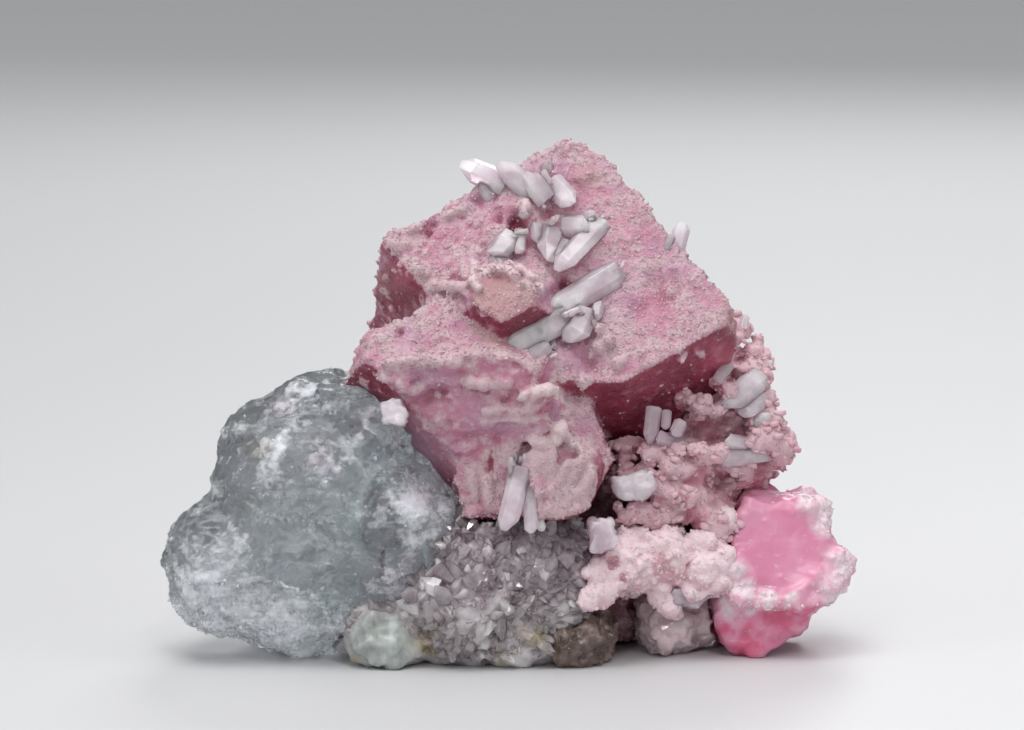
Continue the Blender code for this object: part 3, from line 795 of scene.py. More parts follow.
def makeCluster():
    cad = cadChunk("rhodochrosite_cluster")
    coarse = softened(remeshed("coarse", [cad], cluster["coarse"]), 4)
    points, normals = surfaceOf(coarse)
    ways = nearestOn(points, cad)[1]
    movePoints(coarse, points + normals * clusterForm(points, ways)[:, None])
    points, normals = surfaceOf(coarse)
    lit = exposure(points, ways)
    edge = edgeReach(points, cad)
    knob = spot(points, *cluster["knob"], 0.3)
    patch = smoothstep(-0.4, 0.4, layered(points / np.array([4.0, 4.0, 1.6]), 39, 3))
    weights = (0.02 + smoothstep(0.1, 0.8, lit)) * (0.12 + patch) * roughness(points)
    weights = (weights + 0.7 * smoothstep(1.2, 0.2, edge) * (lit > 0.0)) * (1.0 - 0.6 * knob)
    chunks = []
    for count, smallest, largest in cluster["grains"]:
        chunks += scattered(points, normals, weights, count, smallest, largest, 0.4)
    for right, up, depth, radius in cluster["lumps"]:
        place = seen(right, up, depth)
        near = points[np.argmin(np.abs(points - place) @ np.array([1.0, 0.15, 1.0]))]
        for part in range(4):
            middle = near + rng.normal(0.0, 0.5 * radius, 3)
            chunks.append(grain(middle, radius * rng.uniform(0.4, 1.0, 3), None, 0.5))
    for bends in cluster["corals"]:
        chunks += chainOfGrains(onSurface(points, bends))
    for right, up, wide, high, tilt in cluster["blades"]:
        place = seen(right, up, frontDepth(points, right, up, 1.2) + 0.5)
        chunks.append(grain(place, (high, 1.1, wide), facing(tilt, 1.0, 0.15), 0.6))
    base = taken(coarse)
    obj = remeshed("rhodochrosite_rhombs", [base] + chunks, cluster["voxel"])
    points, normals = surfaceOf(obj)
    rise, ways = nearestOn(points, base)
    cadRise, cadWays = nearestOn(points, cad)
    lit, lean = exposure(points, ways), exposure(points, cadWays)
    ragged = lean + 0.30 * layered(points / 1.3, 15, 3) + 0.15 * layered(points / 0.5, 17, 2)
    ragged = ragged - 0.25 * spot(points, -12.6, 44.0, 4.0, 0.8)
    crusted = smoothstep(0.0, 0.85, ragged)
    knob = spot(points, *cluster["knob"], 0.3)
    leftward = smoothstep(0.0, -10.0, points[:, 0])
    island = smoothstep(0.30, 0.50, layered(points / 1.9, 18, 4) + 0.25 * layered(points / 7.0, 19, 2)
                        - 0.25 * (1.0 - leftward)) * (1.0 - crusted)
    paler = spot(points, -9.6, 27.0, 7.5, 0.6, 1.0) * (lean < 0.35)
    fine = fineGrain(points, 0.42, 9)
    movePoints(obj, points + normals * ((0.03 + 0.08 * crusted * (1.0 - knob)) * fine
                                        + 0.05 * layered(points / 0.9, 11, 2)
                                        + island * (0.12 + 0.2 * fine))[:, None])
    raised = smoothstep(0.08, 0.4, rise)
    low = smoothstep(0.1, -0.9, cadRise) * (0.4 + 0.6 * crusted) * (1.0 - knob)
    cloud = smoothstep(-0.5, 0.5, layered(points / np.array([5.0, 5.0, 2.2]), 13, 3))
    rim = smoothstep(1.0, 0.2, edgeReach(points, cad)) * (lean > 0.2)
    # Pale crust colour, partly real crust and partly painted light: lighter on raised grains and where the
    # base form turns to the light (painted highlight), darker in recesses below the CAD face (painted shade)
    attribute(obj, "frost", crusted * (0.22 + 0.42 * cloud + 0.25 * fine) + 0.35 * paler * cloud
              + 0.5 * (lit - lean) + 0.55 * raised - 0.8 * low + 0.25 * rim - 0.5 * knob + 0.7 * island
              + 0.35 * spot(points, 7.6, 21.6, 4.6, 0.8, 1.0) + 0.3 * spot(points, 5.6, 19.0, 3.0, 0.7, 1.0)
              + 0.35 * spot(points, -2.8, 21.4, 2.4, 0.7, 1.0))
    # Painted shade: darker in recesses below the CAD face and on faces turned down and away from the light;
    # on downward faces partly the clean deeper rose
    attribute(obj, "hollow", np.maximum(smoothstep(0.42, -0.05, ragged) * (1.0 - 0.6 * raised), low)
              - 0.65 * island - 0.7 * paler + spot(points, -2.2, 40.7, 0.45, 0.4)
              + 0.3 * spot(points, -11.7, 46.2, 2.4, 0.9, 1.0) * (lean < 0.6))
    attribute(obj, "tan", 0.6 * spot(points, 26.6, 41.3, 3.4, 0.9) + 0.75 * knob * crusted
              + 0.45 * spot(points, 9.4, 57.2, 2.6, 0.9, 1.0) + 0.35 * spot(points, -14.6, 45.0, 3.0, 0.9))
    whiter = [(bend[0], bend[1], bend[3] + 0.35) for bends in cluster["corals"][:9] for bend in bends]
    attribute(obj, "white", 0.8 * frontPlaces(points, whiter, 0.8, 0.4) * smoothstep(-0.2, 0.3, rise)
              * (points[:, 1] < 2.0))
    attribute(obj, "glow", 0.7 * spot(points, 24.6, 35.6, 4.2, 0.9, 1.0)
              + 0.6 * spot(points, -11.6, 46.0, 3.0, 0.9, 1.0)
              + 0.4 * spot(points, 5.0, 33.0, 4.0, 0.9, 1.0) * (lean < 0.3))
    finishPiece(obj, roseStone, "crusted_rhodochrosite", "rhodochrosite_cluster")
    weights = 0.02 + smoothstep(0.45, 0.9, lean) * (0.3 + cloud) + 0.8 * island + 0.8 * rim
    weights = weights * (1.0 - 0.6 * knob) * (1.0 - 0.7 * low)
    scatterCrystals("rhodochrosite_sugar", obj, weights, 9000, 0.06, 0.20, roseStone,
                    "crusted_rhodochrosite", frost=0.75)


makeCluster()


# The clean crystal at the right

gem = {
    "coarse": 0.5, "voxel": 0.25, "grains": (420, 0.15, 0.45),
    # right, up, radius of the frosted places
    "frosted": ((37.4, 17.6, 3.4), (39.4, 12.0, 3.8), (37.8, 8.6, 3.0), (25.8, 11.2, 2.6), (27.4, 8.9, 2.6),
                (30.4, 8.2, 2.0), (25.4, 6.8, 2.0), (28.2, 6.2, 1.5), (33.4, 7.8, 1.8), (35.0, 19.4, 1.8)),
    "deep": ((31.6, 5.6, 3.2), (34.4, 6.4, 2.0), (28.0, 2.6, 3.0), (24.6, 4.2, 1.8)),
}


def makeGem():
    coarse = softened(remeshed("coarse", [cadChunk("rhodochrosite_gem_lobe")], gem["coarse"]), 14)
    points, normals = surfaceOf(coarse)
    bent = bentBy(points, 3.0, 1.0, (211, 212, 213), 2)
    ledge = terraced(layered(bent / np.array([4.5, 4.5, 2.4]), 41, 3), 2.6, 0.3, 0.7)
    flat = smoothstep(0.75, 0.95, normals @ facing(0.14, 0.22, 0.96))
    flat = flat * spot(points, 31.4, 14.4, 6.0, 0.4, 1.0)
    relief = 0.25 + 0.78 * ledge + 0.3 * layered(points / 1.8, 42, 3) + 1.3 * layered(points / 4.6, 46, 2)
    movePoints(coarse, points + normals * (relief * (1.0 - 0.95 * flat))[:, None])
    points, normals = surfaceOf(coarse)
    frosted = frontPlaces(points, gem["frosted"])
    weights = 0.02 + frosted * (normals[:, 1] < 0.5) + 0.4 * (points[:, 1] > 2.0)
    base = taken(coarse)
    chunks = scattered(points, normals, weights, *gem["grains"])
    obj = remeshed("rose_crystal", [base] + chunks, gem["voxel"])
    points, normals = surfaceOf(obj)
    rise = nearestOn(points, base)[0]
    frosted = frontPlaces(points, gem["frosted"])
    fine = fineGrain(points, 0.5, 43)
    height = frosted * 0.16 * fine + 0.05 * layered(points / 1.2, 44, 2)
    movePoints(obj, points + normals * height[:, None])
    attribute(obj, "rim", np.maximum(frosted * (0.65 + 0.5 * fine), smoothstep(0.05, 0.4, rise)))
    attribute(obj, "deep", frontPlaces(points, gem["deep"]) * 0.85)
    finishPiece(obj, gemStone, "clean_rhodochrosite", "rhodochrosite_gem_lobe")
    weights = 0.01 + frosted * (normals[:, 1] < 0.6)
    scatterCrystals("rose_crystal_sugar", obj, weights, 1100, 0.06, 0.20, gemStone,
                    "clean_rhodochrosite", rim=0.8)


makeGem()


# The layered pink matrix and the white crust

matrix = {
    "coarse": 0.6, "voxel": 0.33, "flakes": (320, 0.6, 1.5), "grains": (900, 0.25, 0.7),
    "crispFlakes": (620, 0.25, 0.8), "crispGrains": (3600, 0.08, 0.28),
    "relief": (
        (17.1, 27.8, 2.8, -3.0), (14.6, 24.7, 1.3, -2.0), (18.1, 28.8, 1.6, -2.0), (20.5, 30.7, 1.3, -1.6),
        (20.3, 16.8, 2.4, -1.8), (14.0, 18.6, 2.0, -1.5), (16.8, 21.0, 1.6, -1.2), (23.0, 20.0, 1.5, -1.0),
        (26.6, 30.0, 2.4, 0.8), (29.4, 26.4, 2.0, 1.0), (27.4, 22.4, 1.8, 0.8),
    ),
    "spurs": (
        ((23.6, 34.0, 13.0, 0.9), (25.2, 32.8, 12.4, 0.9), (26.4, 31.8, 12.0, 0.8)),
        ((21.0, 31.0, 12.0, 0.8), (22.6, 30.4, 11.2, 0.9), (24.6, 29.6, 10.8, 0.8)),
        ((18.8, 26.2, 8.4, 0.7), (20.6, 25.6, 8.0, 0.8), (22.8, 25.2, 8.0, 0.8), (24.6, 24.8, 8.6, 0.7)),
        ((16.6, 24.6, 7.6, 0.7), (18.8, 23.6, 7.4, 0.7), (21.0, 23.0, 7.8, 0.7)),
        ((15.8, 21.8, 7.6, 0.6), (17.8, 20.8, 7.6, 0.7), (20.6, 20.2, 8.0, 0.7), (22.8, 20.6, 8.8, 0.6)),
        ((12.4, 19.0, 6.4, 0.6), (14.6, 17.8, 7.0, 0.7), (17.4, 18.0, 8.0, 0.7), (19.8, 18.6, 8.6, 0.6)),
        ((22.4, 18.6, 8.8, 0.7), (24.0, 17.6, 9.0, 0.8), (24.6, 15.8, 9.0, 0.7)),
        ((28.8, 26.6, 12.0, 1.1), (31.0, 25.8, 13.6, 0.9), (33.2, 24.6, 15.0, 0.5)),
        ((29.6, 29.4, 14.0, 1.1), (31.4, 27.6, 15.0, 0.8), (32.4, 26.4, 15.6, 0.5)),
        ((28.4, 33.6, 17.0, 1.3), (29.8, 35.8, 18.0, 0.8), (28.9, 38.4, 19.0, 0.6)),
        ((26.8, 38.6, 18.0, 1.0), (28.0, 40.2, 19.0, 0.6)),
        ((26.4, 23.4, 12.0, 1.0), (28.6, 22.6, 14.0, 0.6)),
        ((29.6, 31.6, 15.4, 1.0), (31.0, 30.8, 17.0, 0.6)),
    ),
}


def makeMatrix():
    cad = cadChunk("pink_matrix")
    coarse = remeshed("coarse", [cad], matrix["coarse"])
    points, normals = surfaceOf(coarse)
    bent = bentBy(points, 4.0, 1.2, (51, 52, 53), 2)
    flat = layered(bent / np.array([3.8, 3.8, 1.2]), 55, 3)
    height = 1.2 * flat - 0.5
    addPlaces(height, points, matrix["relief"], normals[:, 1] < 0.2)
    movePoints(coarse, points + normals * height[:, None])
    points, normals = surfaceOf(coarse)
    base = taken(coarse)
    weights = 0.12 + (normals[:, 1] < 0.25) * (1.0 + normals[:, 0] * 0.4)
    weights = weights * (1.0 - 0.9 * frontPlaces(points, [place[:3] for place in matrix["relief"][:6]]))
    count, smallest, largest = matrix["flakes"]
    chunks = []
    for index in rng.choice(len(points), count, replace=False, p=weights / weights.sum()):
        size = rng.uniform(smallest, largest)
        way = np.array([0.0, 0.0, 1.0]) + rng.normal(0.0, 0.28, 3) + 0.25 * normals[index]
        radii = (0.45 * size ** 0.5, size, size * rng.uniform(0.5, 0.9))
        chunks.append(grain(points[index], radii, way, 0.7))
    chunks += scattered(points, normals, weights, *matrix["grains"])
    for bends in matrix["spurs"]:
        chunks += chainOfGrains(bends, 0.4, 0.35, 0.5)
    obj = remeshed("pink_matrix_mass", [base] + chunks, matrix["voxel"])
    points, normals = surfaceOf(obj)
    rise, cadRise = nearestOn(points, base)[0], nearestOn(points, cad)[0]
    fine = fineGrain(points, 0.55, 59)
    movePoints(obj, points + normals * (0.14 * fine + 0.08 * layered(points / 0.9, 60, 2))[:, None])
    # Pale sugar on raised flakes, plus painted light on upward-facing surfaces and painted shade in recesses
    # below the CAD form
    attribute(obj, "frost", 0.22 + 0.9 * smoothstep(-0.1, 0.8, rise) + 0.3 * fine + 0.25 * normals[:, 2]
              - 0.4 * smoothstep(0.0, -1.5, cadRise))
    # Painted shade in recesses below the CAD form
    attribute(obj, "hollow", smoothstep(-0.2, -1.8, cadRise) * 0.9)
    finishPiece(obj, matrixStone, "pink_matrix", "pink_matrix")

    # crisp flakes and grains on the front
    points, normals = surfaceOf(obj)
    weights = (normals[:, 1] < 0.1) * (0.2 + smoothstep(-0.6, 0.6, cadRise)) + 0.01
    chunks = []
    count, smallest, largest = matrix["crispFlakes"]
    for index in rng.choice(len(points), count, replace=False, p=weights / weights.sum()):
        size = rng.uniform(smallest, largest)
        way = np.array([0.0, -0.1, 1.0]) + rng.normal(0.0, 0.5, 3) + 0.2 * normals[index]
        chunks.append(grain(points[index], (0.5 * size, size, size * rng.uniform(0.6, 1.0)), way, 0.6))
    scatterCrystals("pink_matrix_sugar", obj, weights, *matrix["crispGrains"], matrixStone,
                    "pink_matrix", frost=0.85)
    flakes = newObject("pink_matrix_flakes", *joinedChunks(chunks))
    attribute(flakes, "frost", 0.7 + 0.4 * layered(pointsOf(flakes) / 3.0, 61, 2))
    finishPiece(flakes, matrixStone, "pink_matrix")


makeMatrix()

crust = {
    "coarse": 0.5, "voxel": 0.26, "grains": (700, 0.2, 0.7),
    "chains": (
        ((21.6, 12.0, 6.4, 1.3), (23.6, 10.6, 7.0, 1.2), (25.2, 9.2, 7.4, 1.0)),
        ((17.2, 9.8, 6.6, 1.3), (18.6, 8.2, 7.0, 1.2), (19.2, 5.8, 7.4, 0.8)),
        ((20.8, 9.6, 6.4, 0.9), (22.6, 8.2, 6.8, 0.8)),
        ((10.6, 11.6, 3.6, 1.2), (9.6, 11.4, 2.8, 1.2), (9.0, 10.6, 2.4, 0.8)),
        ((11.2, 9.6, 3.6, 1.2), (10.2, 8.8, 2.8, 1.2), (9.2, 8.2, 2.0, 0.8)),
        ((22.8, 11.8, 6.8, 1.1), (24.4, 12.4, 7.6, 1.0), (25.4, 13.2, 8.2, 0.8)),
        ((22.0, 14.6, 7.4, 1.0), (24.0, 14.8, 8.4, 1.0), (25.4, 16.0, 9.4, 0.8), (25.6, 18.6, 10.0, 0.7)),
    ),
    "pits": ((12.0, 12.4, 1.4, -0.9), (10.6, 14.0, 1.0, -0.7), (18.2, 8.9, 1.0, -0.9),
             (13.6, 10.4, 1.1, -0.6)),
}


def makeCrust():
    cad = cadChunk("white_crust_block")
    coarse = remeshed("coarse", [cad], crust["coarse"])
    points, normals = surfaceOf(coarse)
    height = 0.9 * layered(points / 2.8, 71, 3)
    addPlaces(height, points, crust["pits"], normals[:, 1] < 0.2)
    movePoints(coarse, points + normals * height[:, None])
    points, normals = surfaceOf(coarse)
    base = taken(coarse)
    weights = 0.2 + (normals[:, 1] < 0.3) + 0.5 * (normals[:, 2] > 0.3)
    chunks = scattered(points, normals, weights, *crust["grains"])
    for bends in crust["chains"]:
        chunks += chainOfGrains(bends, 0.35, 0.3, 0.6)
    obj = remeshed("white_crust", [base] + chunks, crust["voxel"])
    points, normals = surfaceOf(obj)
    rise = nearestOn(points, cad)[0]
    fine = fineGrain(points, 0.5, 75)
    movePoints(obj, points + normals * (0.16 * fine + 0.06 * layered(points / 0.8, 76, 2))[:, None])
    # Painted shade: pinker and darker in recesses and on downward-facing sides
    attribute(obj, "hollow", 1.3 * smoothstep(0.2, -0.9, rise) + 0.4 * smoothstep(0.1, -0.7, normals[:, 2])
              - 0.2 * fine)
    finishPiece(obj, crustStone, "white_crust", "white_crust_block")
    weights = 0.1 + (normals[:, 1] < 0.3)
    scatterCrystals("white_crust_sugar", obj, weights, 1800, 0.06, 0.24, crustStone, "white_crust",
                    hollow=-0.1)


makeCrust()


# Fluorite

fluorite = {
    "coarse": 0.6, "voxel": 0.3,
    "relief": (
        (-19.0, 29.0, 4.0, -0.7), (-12.8, 25.0, 2.6, -0.8), (-21.6, 18.0, 3.2, -1.0),
        (-16.0, 20.0, 3.4, -0.9), (-26.0, 20.4, 2.2, -0.9), (-20.0, 10.0, 4.0, -0.9),
        (-26.0, 30.0, 2.0, -0.6), (-30.6, 14.2, 2.6, 0.7), (-22.0, 26.0, 3.0, 0.7),
        (-24.0, 14.0, 2.6, 0.5), (-35.0, 9.0, 3.0, 0.5), (-10.6, 18.0, 3.0, 0.4),
    ),
    # right, up, radius
    "frosted": ((-34.0, 9.0, 9.0), (-26.0, 4.6, 6.5), (-17.0, 4.4, 5.5), (-9.8, 18.6, 6.0),
                (-24.0, 31.0, 2.6), (-13.0, 9.0, 4.6), (-27.0, 24.5, 3.6), (-17.0, 27.4, 2.0),
                (-21.0, 24.0, 2.4)),
    "green": ((-20.6, 9.0, 5.0), (-15.6, 23.0, 4.6), (-18.0, 16.6, 5.6), (-26.0, 12.6, 3.0)),
    "beige": ((-30.6, 19.4, 2.4), (-29.2, 25.6, 2.6), (-18.6, 0.9, 2.0)),
    "lilac": ((-22.0, 25.0, 4.0), (-25.6, 30.6, 3.4), (-9.6, 22.0, 4.4), (-17.0, 29.0, 3.0),
              (-12.0, 12.0, 3.0)),
    "veils": 26,
}


def makeFluorite():
    cad = cadChunk("fluorite_mass")
    coarse = softened(remeshed("coarse", [cad], fluorite["coarse"]), 8)
    points, normals = surfaceOf(coarse)
    big = facetHeight(points + softNoise(points / 6.0, 80)[:, None], 5.5, 81, 0.22)
    height = 0.5 * (big - 0.6) + 0.5 * layered(points / 6.0, 87, 3)
    addPlaces(height, points, fluorite["relief"], normals[:, 1] < 0.2)
    movePoints(coarse, points + normals * height[:, None])
    base = taken(coarse)
    obj = remeshed("fluorite_lobes", [base], fluorite["voxel"])
    points, normals = surfaceOf(obj)
    frosted = frontPlaces(points, fluorite["frosted"], 1.0, 3.0) * 0.7 + 0.1
    frosted = np.clip(frosted + 0.4 * layered(points / 3.0, 88, 4, 0.6), 0.0, 1.0)
    frosted = np.where(points[:, 1] > 0.0, 0.7, frosted)
    small = facetHeight(points, 1.5, 83, 0.35)
    tiny = facetHeight(points, 0.75, 84, 0.6)
    streak = softNoise(points @ np.array([[0.35, -0.5, 0.2], [0.1, 0.2, 0.9], [1.6, 0.9, -1.1]]), 89)
    height = (0.26 + 0.10 * frosted) * small + (0.18 + 0.20 * frosted) * tiny
    height = height + 0.16 * streak * (1.0 - frosted)
    movePoints(obj, points + normals * (height - 0.15)[:, None])
    attribute(obj, "frost", frosted)
    attribute(obj, "green", frontPlaces(points, fluorite["green"], 0.9) * 0.6 * (points[:, 1] < 0.0))
    attribute(obj, "lilac", frontPlaces(points, fluorite["lilac"], 0.9, 2.0) * 0.6 * (points[:, 1] < 0.0))
    attribute(obj, "beige", frontPlaces(points, fluorite["beige"], 0.9) * 0.6)
    finishPiece(obj, fluoriteGlass, "pale_green_fluorite", "fluorite_mass")
    weights = 0.01 + frosted ** 2 * (normals[:, 1] < 0.4) * (0.2 + smoothstep(0.2, -0.7, normals[:, 2]))
    scatterCrystals("fluorite_beads", obj, weights, 1800, 0.08, 0.26, fluoriteGlass,
                    "pale_green_fluorite", frost=1.1)

    # cleavage veils inside the crystal
    rows, faces, start, across = [], [], 0, 13
    u, v = np.meshgrid(*[np.linspace(-1.0, 1.0, across)] * 2)
    u, v = u[..., None], v[..., None]
    for index in range(fluorite["veils"]):
        middle = seen(rng.uniform(-30.0, -13.0), rng.uniform(6.0, 28.0), rng.uniform(3.0, 15.0))
        way = rng.normal(0.0, 1.0, 3) + np.array([0.0, -0.6, 0.6])
        way, side, other = axesFor(way, rng.normal(0.0, 1.0, 3))
        size = rng.uniform(1.6, 3.6)
        sheet = size * (u * side + 0.7 * v * other) * (1.0 - 0.25 * (u ** 2 * v ** 2))
        sheet = (middle + sheet).reshape(-1, 3)
        sheet = sheet + way * (0.35 * softNoise(sheet / 1.3, 300 + index))[:, None]
        if nearestOn(sheet, base)[0].max() >= -0.8:
            continue
        rows.append(sheet)
        corners = [start + r * across + c for r in range(across - 1) for c in range(across - 1)]
        faces += [[k, k + 1, k + across + 1, k + across] for k in corners]
        start += across ** 2
    finishPiece(newObject("fluorite_veils", np.concatenate(rows), faces), veilLook, "pale_green_fluorite")


makeFluorite()


# Drusy quartz and the two feet

druse = {"voxel": 0.34, "crystals": ((760, 0.7, 1.6), (150, 1.4, 2.6)),
         "stains": ((-9.4, 3.3, 2.2), (2.9, 3.7, 2.0), (-18.4, 0.6, 1.8), (-1.0, 1.4, 1.4))}


def crystalCrust(points, normals, count, smallest, largest, allowed, sink=0.5):
    chunks = []
    for index in rng.choice(np.flatnonzero(allowed), count, replace=False):
        width = smallest + (largest - smallest) * rng.random() ** 1.6
        way = normals[index] + rng.normal(0.0, 0.55, 3)
        way /= np.linalg.norm(way)
        foot = points[index] - way * width * sink
        tip = foot + way * width * (sink + rng.uniform(0.45, 1.0))
        chunks.append(quartzPoint(foot, tip, width, rng.uniform(0.75, 1.0), rng.normal(0, 1, 3),
                                  rng.uniform(0.45, 0.8), rng.normal(0, 0.08, 2)))
    return chunks


def makeDruse():
    obj = remeshed("drusy_quartz_bed", [cadChunk("drusy_quartz_base")], druse["voxel"])
    points, normals = surfaceOf(obj)
    smooth = spot(points, -14.6, 2.8, 5.5, 0.5)
    height = 0.5 * facetHeight(points, 1.6, 91, 0.6) * (1.0 - 0.5 * smooth) - 0.2
    height = height + 0.4 * layered(points / 5.0, 93, 2) + 0.9 * smooth * layered(points / 2.4, 94, 3)
    movePoints(obj, points + normals * height[:, None])
    points, normals = surfaceOf(obj)
    allowed = (points[:, 2] > 1.4) & (normals[:, 1] < 0.35) & (smooth < 0.5)
    chunks = []
    for count, smallest, largest in druse["crystals"]:
        chunks += crystalCrust(points, normals, count, smallest, largest, allowed)
    attribute(obj, "stain", frontPlaces(points, druse["stains"]) * 0.8)
    attribute(obj, "cool", 0.9 * smooth)
    attribute(obj, "shade", 0.6 * smoothstep(6.0, 13.0, points[:, 2]))
    attribute(obj, "clear", np.full(len(points), 0.15))
    finishPiece(obj, druseGlass, "drusy_quartz", "drusy_quartz_base")
    crystals = newObject("drusy_quartz_crystals", *joinedChunks(chunks), False)
    points = pointsOf(crystals)
    # Every seventh crystal is left milky and pale: a painted highlight standing in for glints
    pale = np.concatenate([np.full(len(chunk[0]), index % 7 == 0) for index, chunk in enumerate(chunks)])
    attribute(crystals, "stain", frontPlaces(points, druse["stains"]) * 0.8)
    attribute(crystals, "shade", np.where(pale, 0.0, 0.6 * smoothstep(6.0, 13.0, points[:, 2])))
    attribute(crystals, "clear", np.where(pale, 0.0, 0.85))
    finishPiece(crystals, druseGlass, "drusy_quartz")


makeDruse()


def makeFoot(name, node, material, slot, seed):
    coarse = remeshed("coarse", [cadChunk(node)], 0.4)
    points, normals = surfaceOf(coarse)
    movePoints(coarse, points + normals * (0.7 * layered(points / 2.4, seed + 1, 3))[:, None])
    base = taken(coarse)
    obj = remeshed(name, [base], 0.24)
    points, normals = surfaceOf(obj)
    bumps = facetHeight(points, 1.5, seed, 0.6)
    movePoints(obj, points + normals * (0.5 * bumps - 0.25)[:, None])
    attribute(obj, "blush", 0.6 + 0.5 * layered(points / 3.0, seed + 2, 2))
    finishPiece(obj, material, slot, node)


makeFoot("smoky_quartz_lump", "smoky_quartz_foot", smokyGlass, "smoky_quartz", 101)
makeFoot("clear_quartz_lump", "clear_quartz_foot", druseGlass, "drusy_quartz", 111)


# Quartz points. On the large face: foot and tip as right, up; width, flatness, rise of foot and tip.
# Elsewhere: foot and tip as right, up, depth; width, flatness.

quartz = {
    "crest_quartz": (
        ((-0.4, 56.4), (-5.7, 58.5), 3.0, 0.5, 0.2, 1.2), ((3.0, 55.4), (-1.3, 58.8), 2.8, 0.55, 0.8, 1.8),
        ((4.6, 54.4), (1.9, 57.6), 2.5, 0.6, 1.4, 2.0), ((5.0, 56.6), (7.6, 53.8), 2.5, 0.5, 0.8, 2.2),
        ((3.9, 57.0), (5.0, 59.0), 1.6, 0.7, 0.2, 1.0), ((-2.0, 54.6), (-3.4, 56.6), 1.5, 0.7, 0.2, 0.9),
        ((6.4, 55.4), (8.2, 55.0), 1.3, 0.7, 0.4, 1.2),
    ),
    "upper_face_quartz": (
        ((6.4, 51.4), (9.6, 51.4), 2.6, 0.6, 0.6, 1.8), ((10.8, 51.9), (5.6, 46.2), 2.5, 0.6, 0.4, 3.2),
        ((5.2, 50.8), (4.4, 47.4), 2.8, 0.65, 0.4, 2.2), ((6.6, 49.4), (5.8, 47.6), 1.8, 0.7, 0.8, 2.4),
        ((3.4, 51.6), (3.6, 49.2), 1.6, 0.7, 0.3, 1.4), ((8.4, 52.2), (10.2, 53.0), 1.4, 0.7, 0.2, 1.0),
    ),
    "left_face_quartz": (
        ((0.4, 50.2), (-1.7, 47.6), 2.7, 0.7, 0.4, 1.5), ((-0.2, 48.4), (-1.9, 46.4), 2.1, 0.7, 0.4, 1.3),
        ((1.5, 50.8), (1.4, 48.1), 1.3, 0.8, 0.5, 1.5),
    ),
    "small_crest_quartz": (((1.9, 54.4), (1.9, 52.2), 1.3, 0.8, 0.4, 1.3),),
    "lying_quartz": (
        ((12.9, 46.2), (4.2, 40.9), 3.1, 0.42, 0.2, 1.6), ((6.8, 41.0), (0.2, 37.1), 2.9, 0.5, 1.4, 3.0),
        ((8.8, 41.6), (7.4, 38.0), 3.0, 0.55, 0.9, 2.0), ((4.0, 37.6), (1.8, 35.3), 2.4, 0.7, 1.6, 3.2),
        ((10.4, 42.4), (10.0, 40.4), 1.5, 0.7, 0.4, 1.3), ((3.0, 40.6), (3.6, 38.4), 1.4, 0.7, 1.4, 2.6),
    ),
    "edge_quartz": (
        ((19.2, 47.6), (20.4, 51.9), 1.9, 0.6, -0.4, -0.2), ((18.4, 48.6), (19.0, 50.6), 1.1, 0.7, 0.0, 0.2),
        ((27.2, 39.6), (27.6, 41.2), 0.9, 0.7, -1.0, -0.6),
    ),
    "hanging_quartz": (
        ((1.6, 23.4, 1.2), (-0.3, 16.3, -2.0), 2.4, 0.8), ((2.5, 22.0, 0.8), (2.7, 16.0, -1.3), 1.6, 0.8),
        ((2.9, 20.0, 1.0), (4.0, 16.2, -0.4), 1.0, 0.7), ((0.4, 24.6, 1.8), (0.6, 22.2, 0.2), 1.0, 0.8),
    ),
    "cave_quartz": (
        ((16.9, 30.4, 8.4), (16.4, 26.2, 6.6), 1.7, 0.7), ((18.4, 30.0, 8.6), (18.2, 27.8, 7.2), 1.1, 0.7),
    ),
    "ledge_quartz": (
        ((20.6, 25.6, 10.0), (17.0, 27.2, 6.0), 1.7, 0.6), ((20.0, 28.6, 8.6), (19.2, 27.0, 6.4), 1.5, 0.8),
    ),
    "side_quartz": (
        ((31.4, 25.6, 14.6), (23.9, 24.5, 9.2), 2.6, 0.7), ((27.8, 26.0, 12.0), (25.2, 26.6, 9.2), 1.7, 0.8),
    ),
    "shoulder_quartz": (
        ((29.4, 34.0, 15.4), (25.4, 30.2, 10.4), 2.9, 0.6),
        ((29.8, 31.4, 14.4), (27.0, 29.6, 11.2), 2.2, 0.7),
        ((25.6, 35.4, 13.6), (24.2, 33.2, 10.8), 1.5, 0.8),
        ((28.8, 28.4, 12.8), (30.6, 29.6, 12.2), 1.4, 0.8),
    ),
}
quartzSink, quartzFullness = (0.8, 0.6), 1.18
milkyPlates = ("upper_milky_plate", "lower_milky_plate", "foot_milky_plate", "junction_milky_quartz")


def makeQuartz(name):
    chunks = []
    for entry in quartz[name]:
        foot, tip, width, flatness = entry[:4]
        if len(foot) == 2:
            foot, tip = [seen(*place, faceDepth(*place, rise - sink))
                         for place, rise, sink in zip((foot, tip), entry[4:], quartzSink)]
        else:
            foot, tip = seen(*foot), seen(*tip)
        hint = facing(0.05, 0.35, 0.94) + rng.normal(0.0, 0.15, 3)
        chunks.append(quartzPoint(foot, tip, width * quartzFullness, flatness, hint, rng.uniform(0.32, 0.6),
                                  rng.normal(0.0, 0.09, 2), rng.uniform(0.84, 0.96)))
        # small crystals crowd round the foot of the large ones
        for crumb in range(4 if width > 2.2 else 0):
            place = foot + rng.normal(0.0, 0.3 * width, 3)
            way = (tip - foot) / np.linalg.norm(tip - foot) + rng.normal(0.0, 0.5, 3)
            size = rng.uniform(0.5, 1.1)
            chunks.append(quartzPoint(place - way * size * 0.8, place + way * size * 0.6, size, 0.8,
                                      rng.normal(0, 1, 3), 0.4))
    obj = newObject(name + "_points", *joinedChunks(chunks), False)
    bevel = obj.modifiers.new("bevel", "BEVEL")
    bevel.width, bevel.segments = 0.07 * mm, 1
    applied(obj)
    finishPiece(obj, milkyGlass, "milky_quartz", name)


for name in quartz:
    makeQuartz(name)


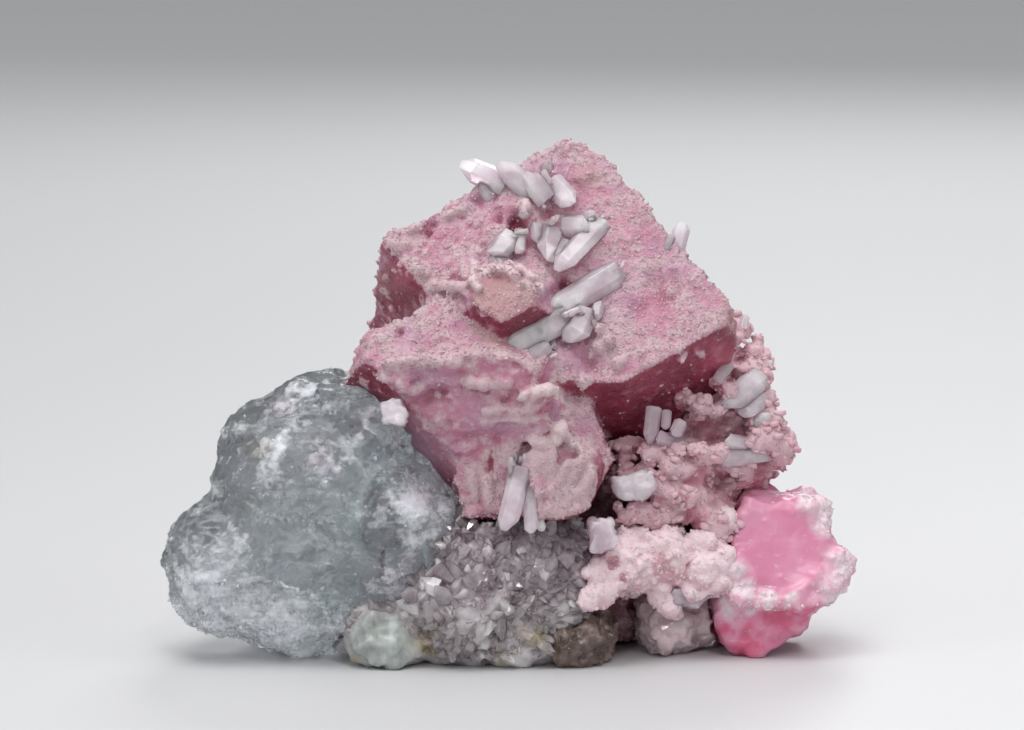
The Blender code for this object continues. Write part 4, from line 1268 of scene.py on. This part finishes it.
def makePlate(name, seed):
    coarse = softened(remeshed("coarse", [cadChunk(name)], 0.22), 6)
    points, normals = surfaceOf(coarse)
    height = 0.35 * layered(points / 1.6, seed, 3) + 0.25 * facetHeight(points, 1.3, seed + 1, 0.6)
    movePoints(coarse, points + normals * height[:, None])
    coarse.name = name + "_lump"
    finishPiece(coarse, milkyGlass, "milky_quartz", name)


for number, name in enumerate(milkyPlates):
    makePlate(name, 121 + 10 * number)


# Floor, lights and camera

def makeStage():
    side = 3.0
    corners = np.array([[-side, -side, 0], [side, -side, 0], [side, side, 0], [-side, side, 0]])
    floor = newObject("floor", corners / mm, [[0, 1, 2, 3]])
    material = bpy.data.materials.new("pale_floor")
    material.use_nodes = True
    shader = material.node_tree.nodes["Principled BSDF"]
    shader.inputs["Base Color"].default_value = rgb(0.62, 0.62, 0.63)
    shader.inputs["Roughness"].default_value = 0.55
    floor.data.materials.append(material)

    def softLight(name, place, size, power):
        light = bpy.data.lights.new(name, "AREA")
        light.shape, light.size, light.energy = "DISK", size, power
        lamp = bpy.data.objects.new(name, light)
        lamp.location = place
        aim = Vector((0.0, 0.0, 0.03)) - Vector(place)
        lamp.rotation_euler = aim.to_track_quat("-Z", "Y").to_euler()
        lamp.visible_camera = False
        bpy.context.scene.collection.objects.link(lamp)

    # name, place, size and power
    softLight("top_softbox", (-0.08, -0.10, 0.60), 0.40, 1.55)
    softLight("high_softbox", (0.0, 0.0, 2.2), 4.0, 30.0)
    softLight("left_softbox", (-0.55, -0.30, 0.30), 0.30, 0.7)
    softLight("right_softbox", (0.55, -0.25, 0.35), 0.30, 0.5)
    softLight("back_softbox", (0.10, 0.60, 0.35), 0.30, 1.0)
    softLight("glint_lamp", (0.10, -0.45, 0.50), 0.09, 0.5)
    softLight("low_glint_lamp", (-0.14, -0.55, 0.24), 0.08, 0.3)

    world = bpy.data.worlds.new("studio")
    world.use_nodes = True
    sky = world.node_tree.nodes["Background"]
    sky.inputs["Color"].default_value = rgb(0.75, 0.77, 0.80)
    sky.inputs["Strength"].default_value = 0.29
    bpy.context.scene.world = world

    lens, sensor, frameWidth = 200.0, 36.0, 0.1194
    camera = bpy.data.cameras.new("camera")
    camera.lens, camera.sensor_width = lens, sensor
    view = bpy.data.objects.new("camera", camera)
    target = Vector(seen(0.47, 35.3, 14.0)) * mm
    distance = frameWidth * lens / sensor
    view.location = target + Vector((0.0, -tiltCos, tiltSin)) * distance
    view.rotation_euler = (math.radians(90.0) - viewTilt, 0.0, 0.0)
    camera.clip_start = 0.01
    bpy.context.scene.collection.objects.link(view)
    bpy.context.scene.camera = view
    bpy.context.scene.view_settings.view_transform = "Standard"


makeStage()
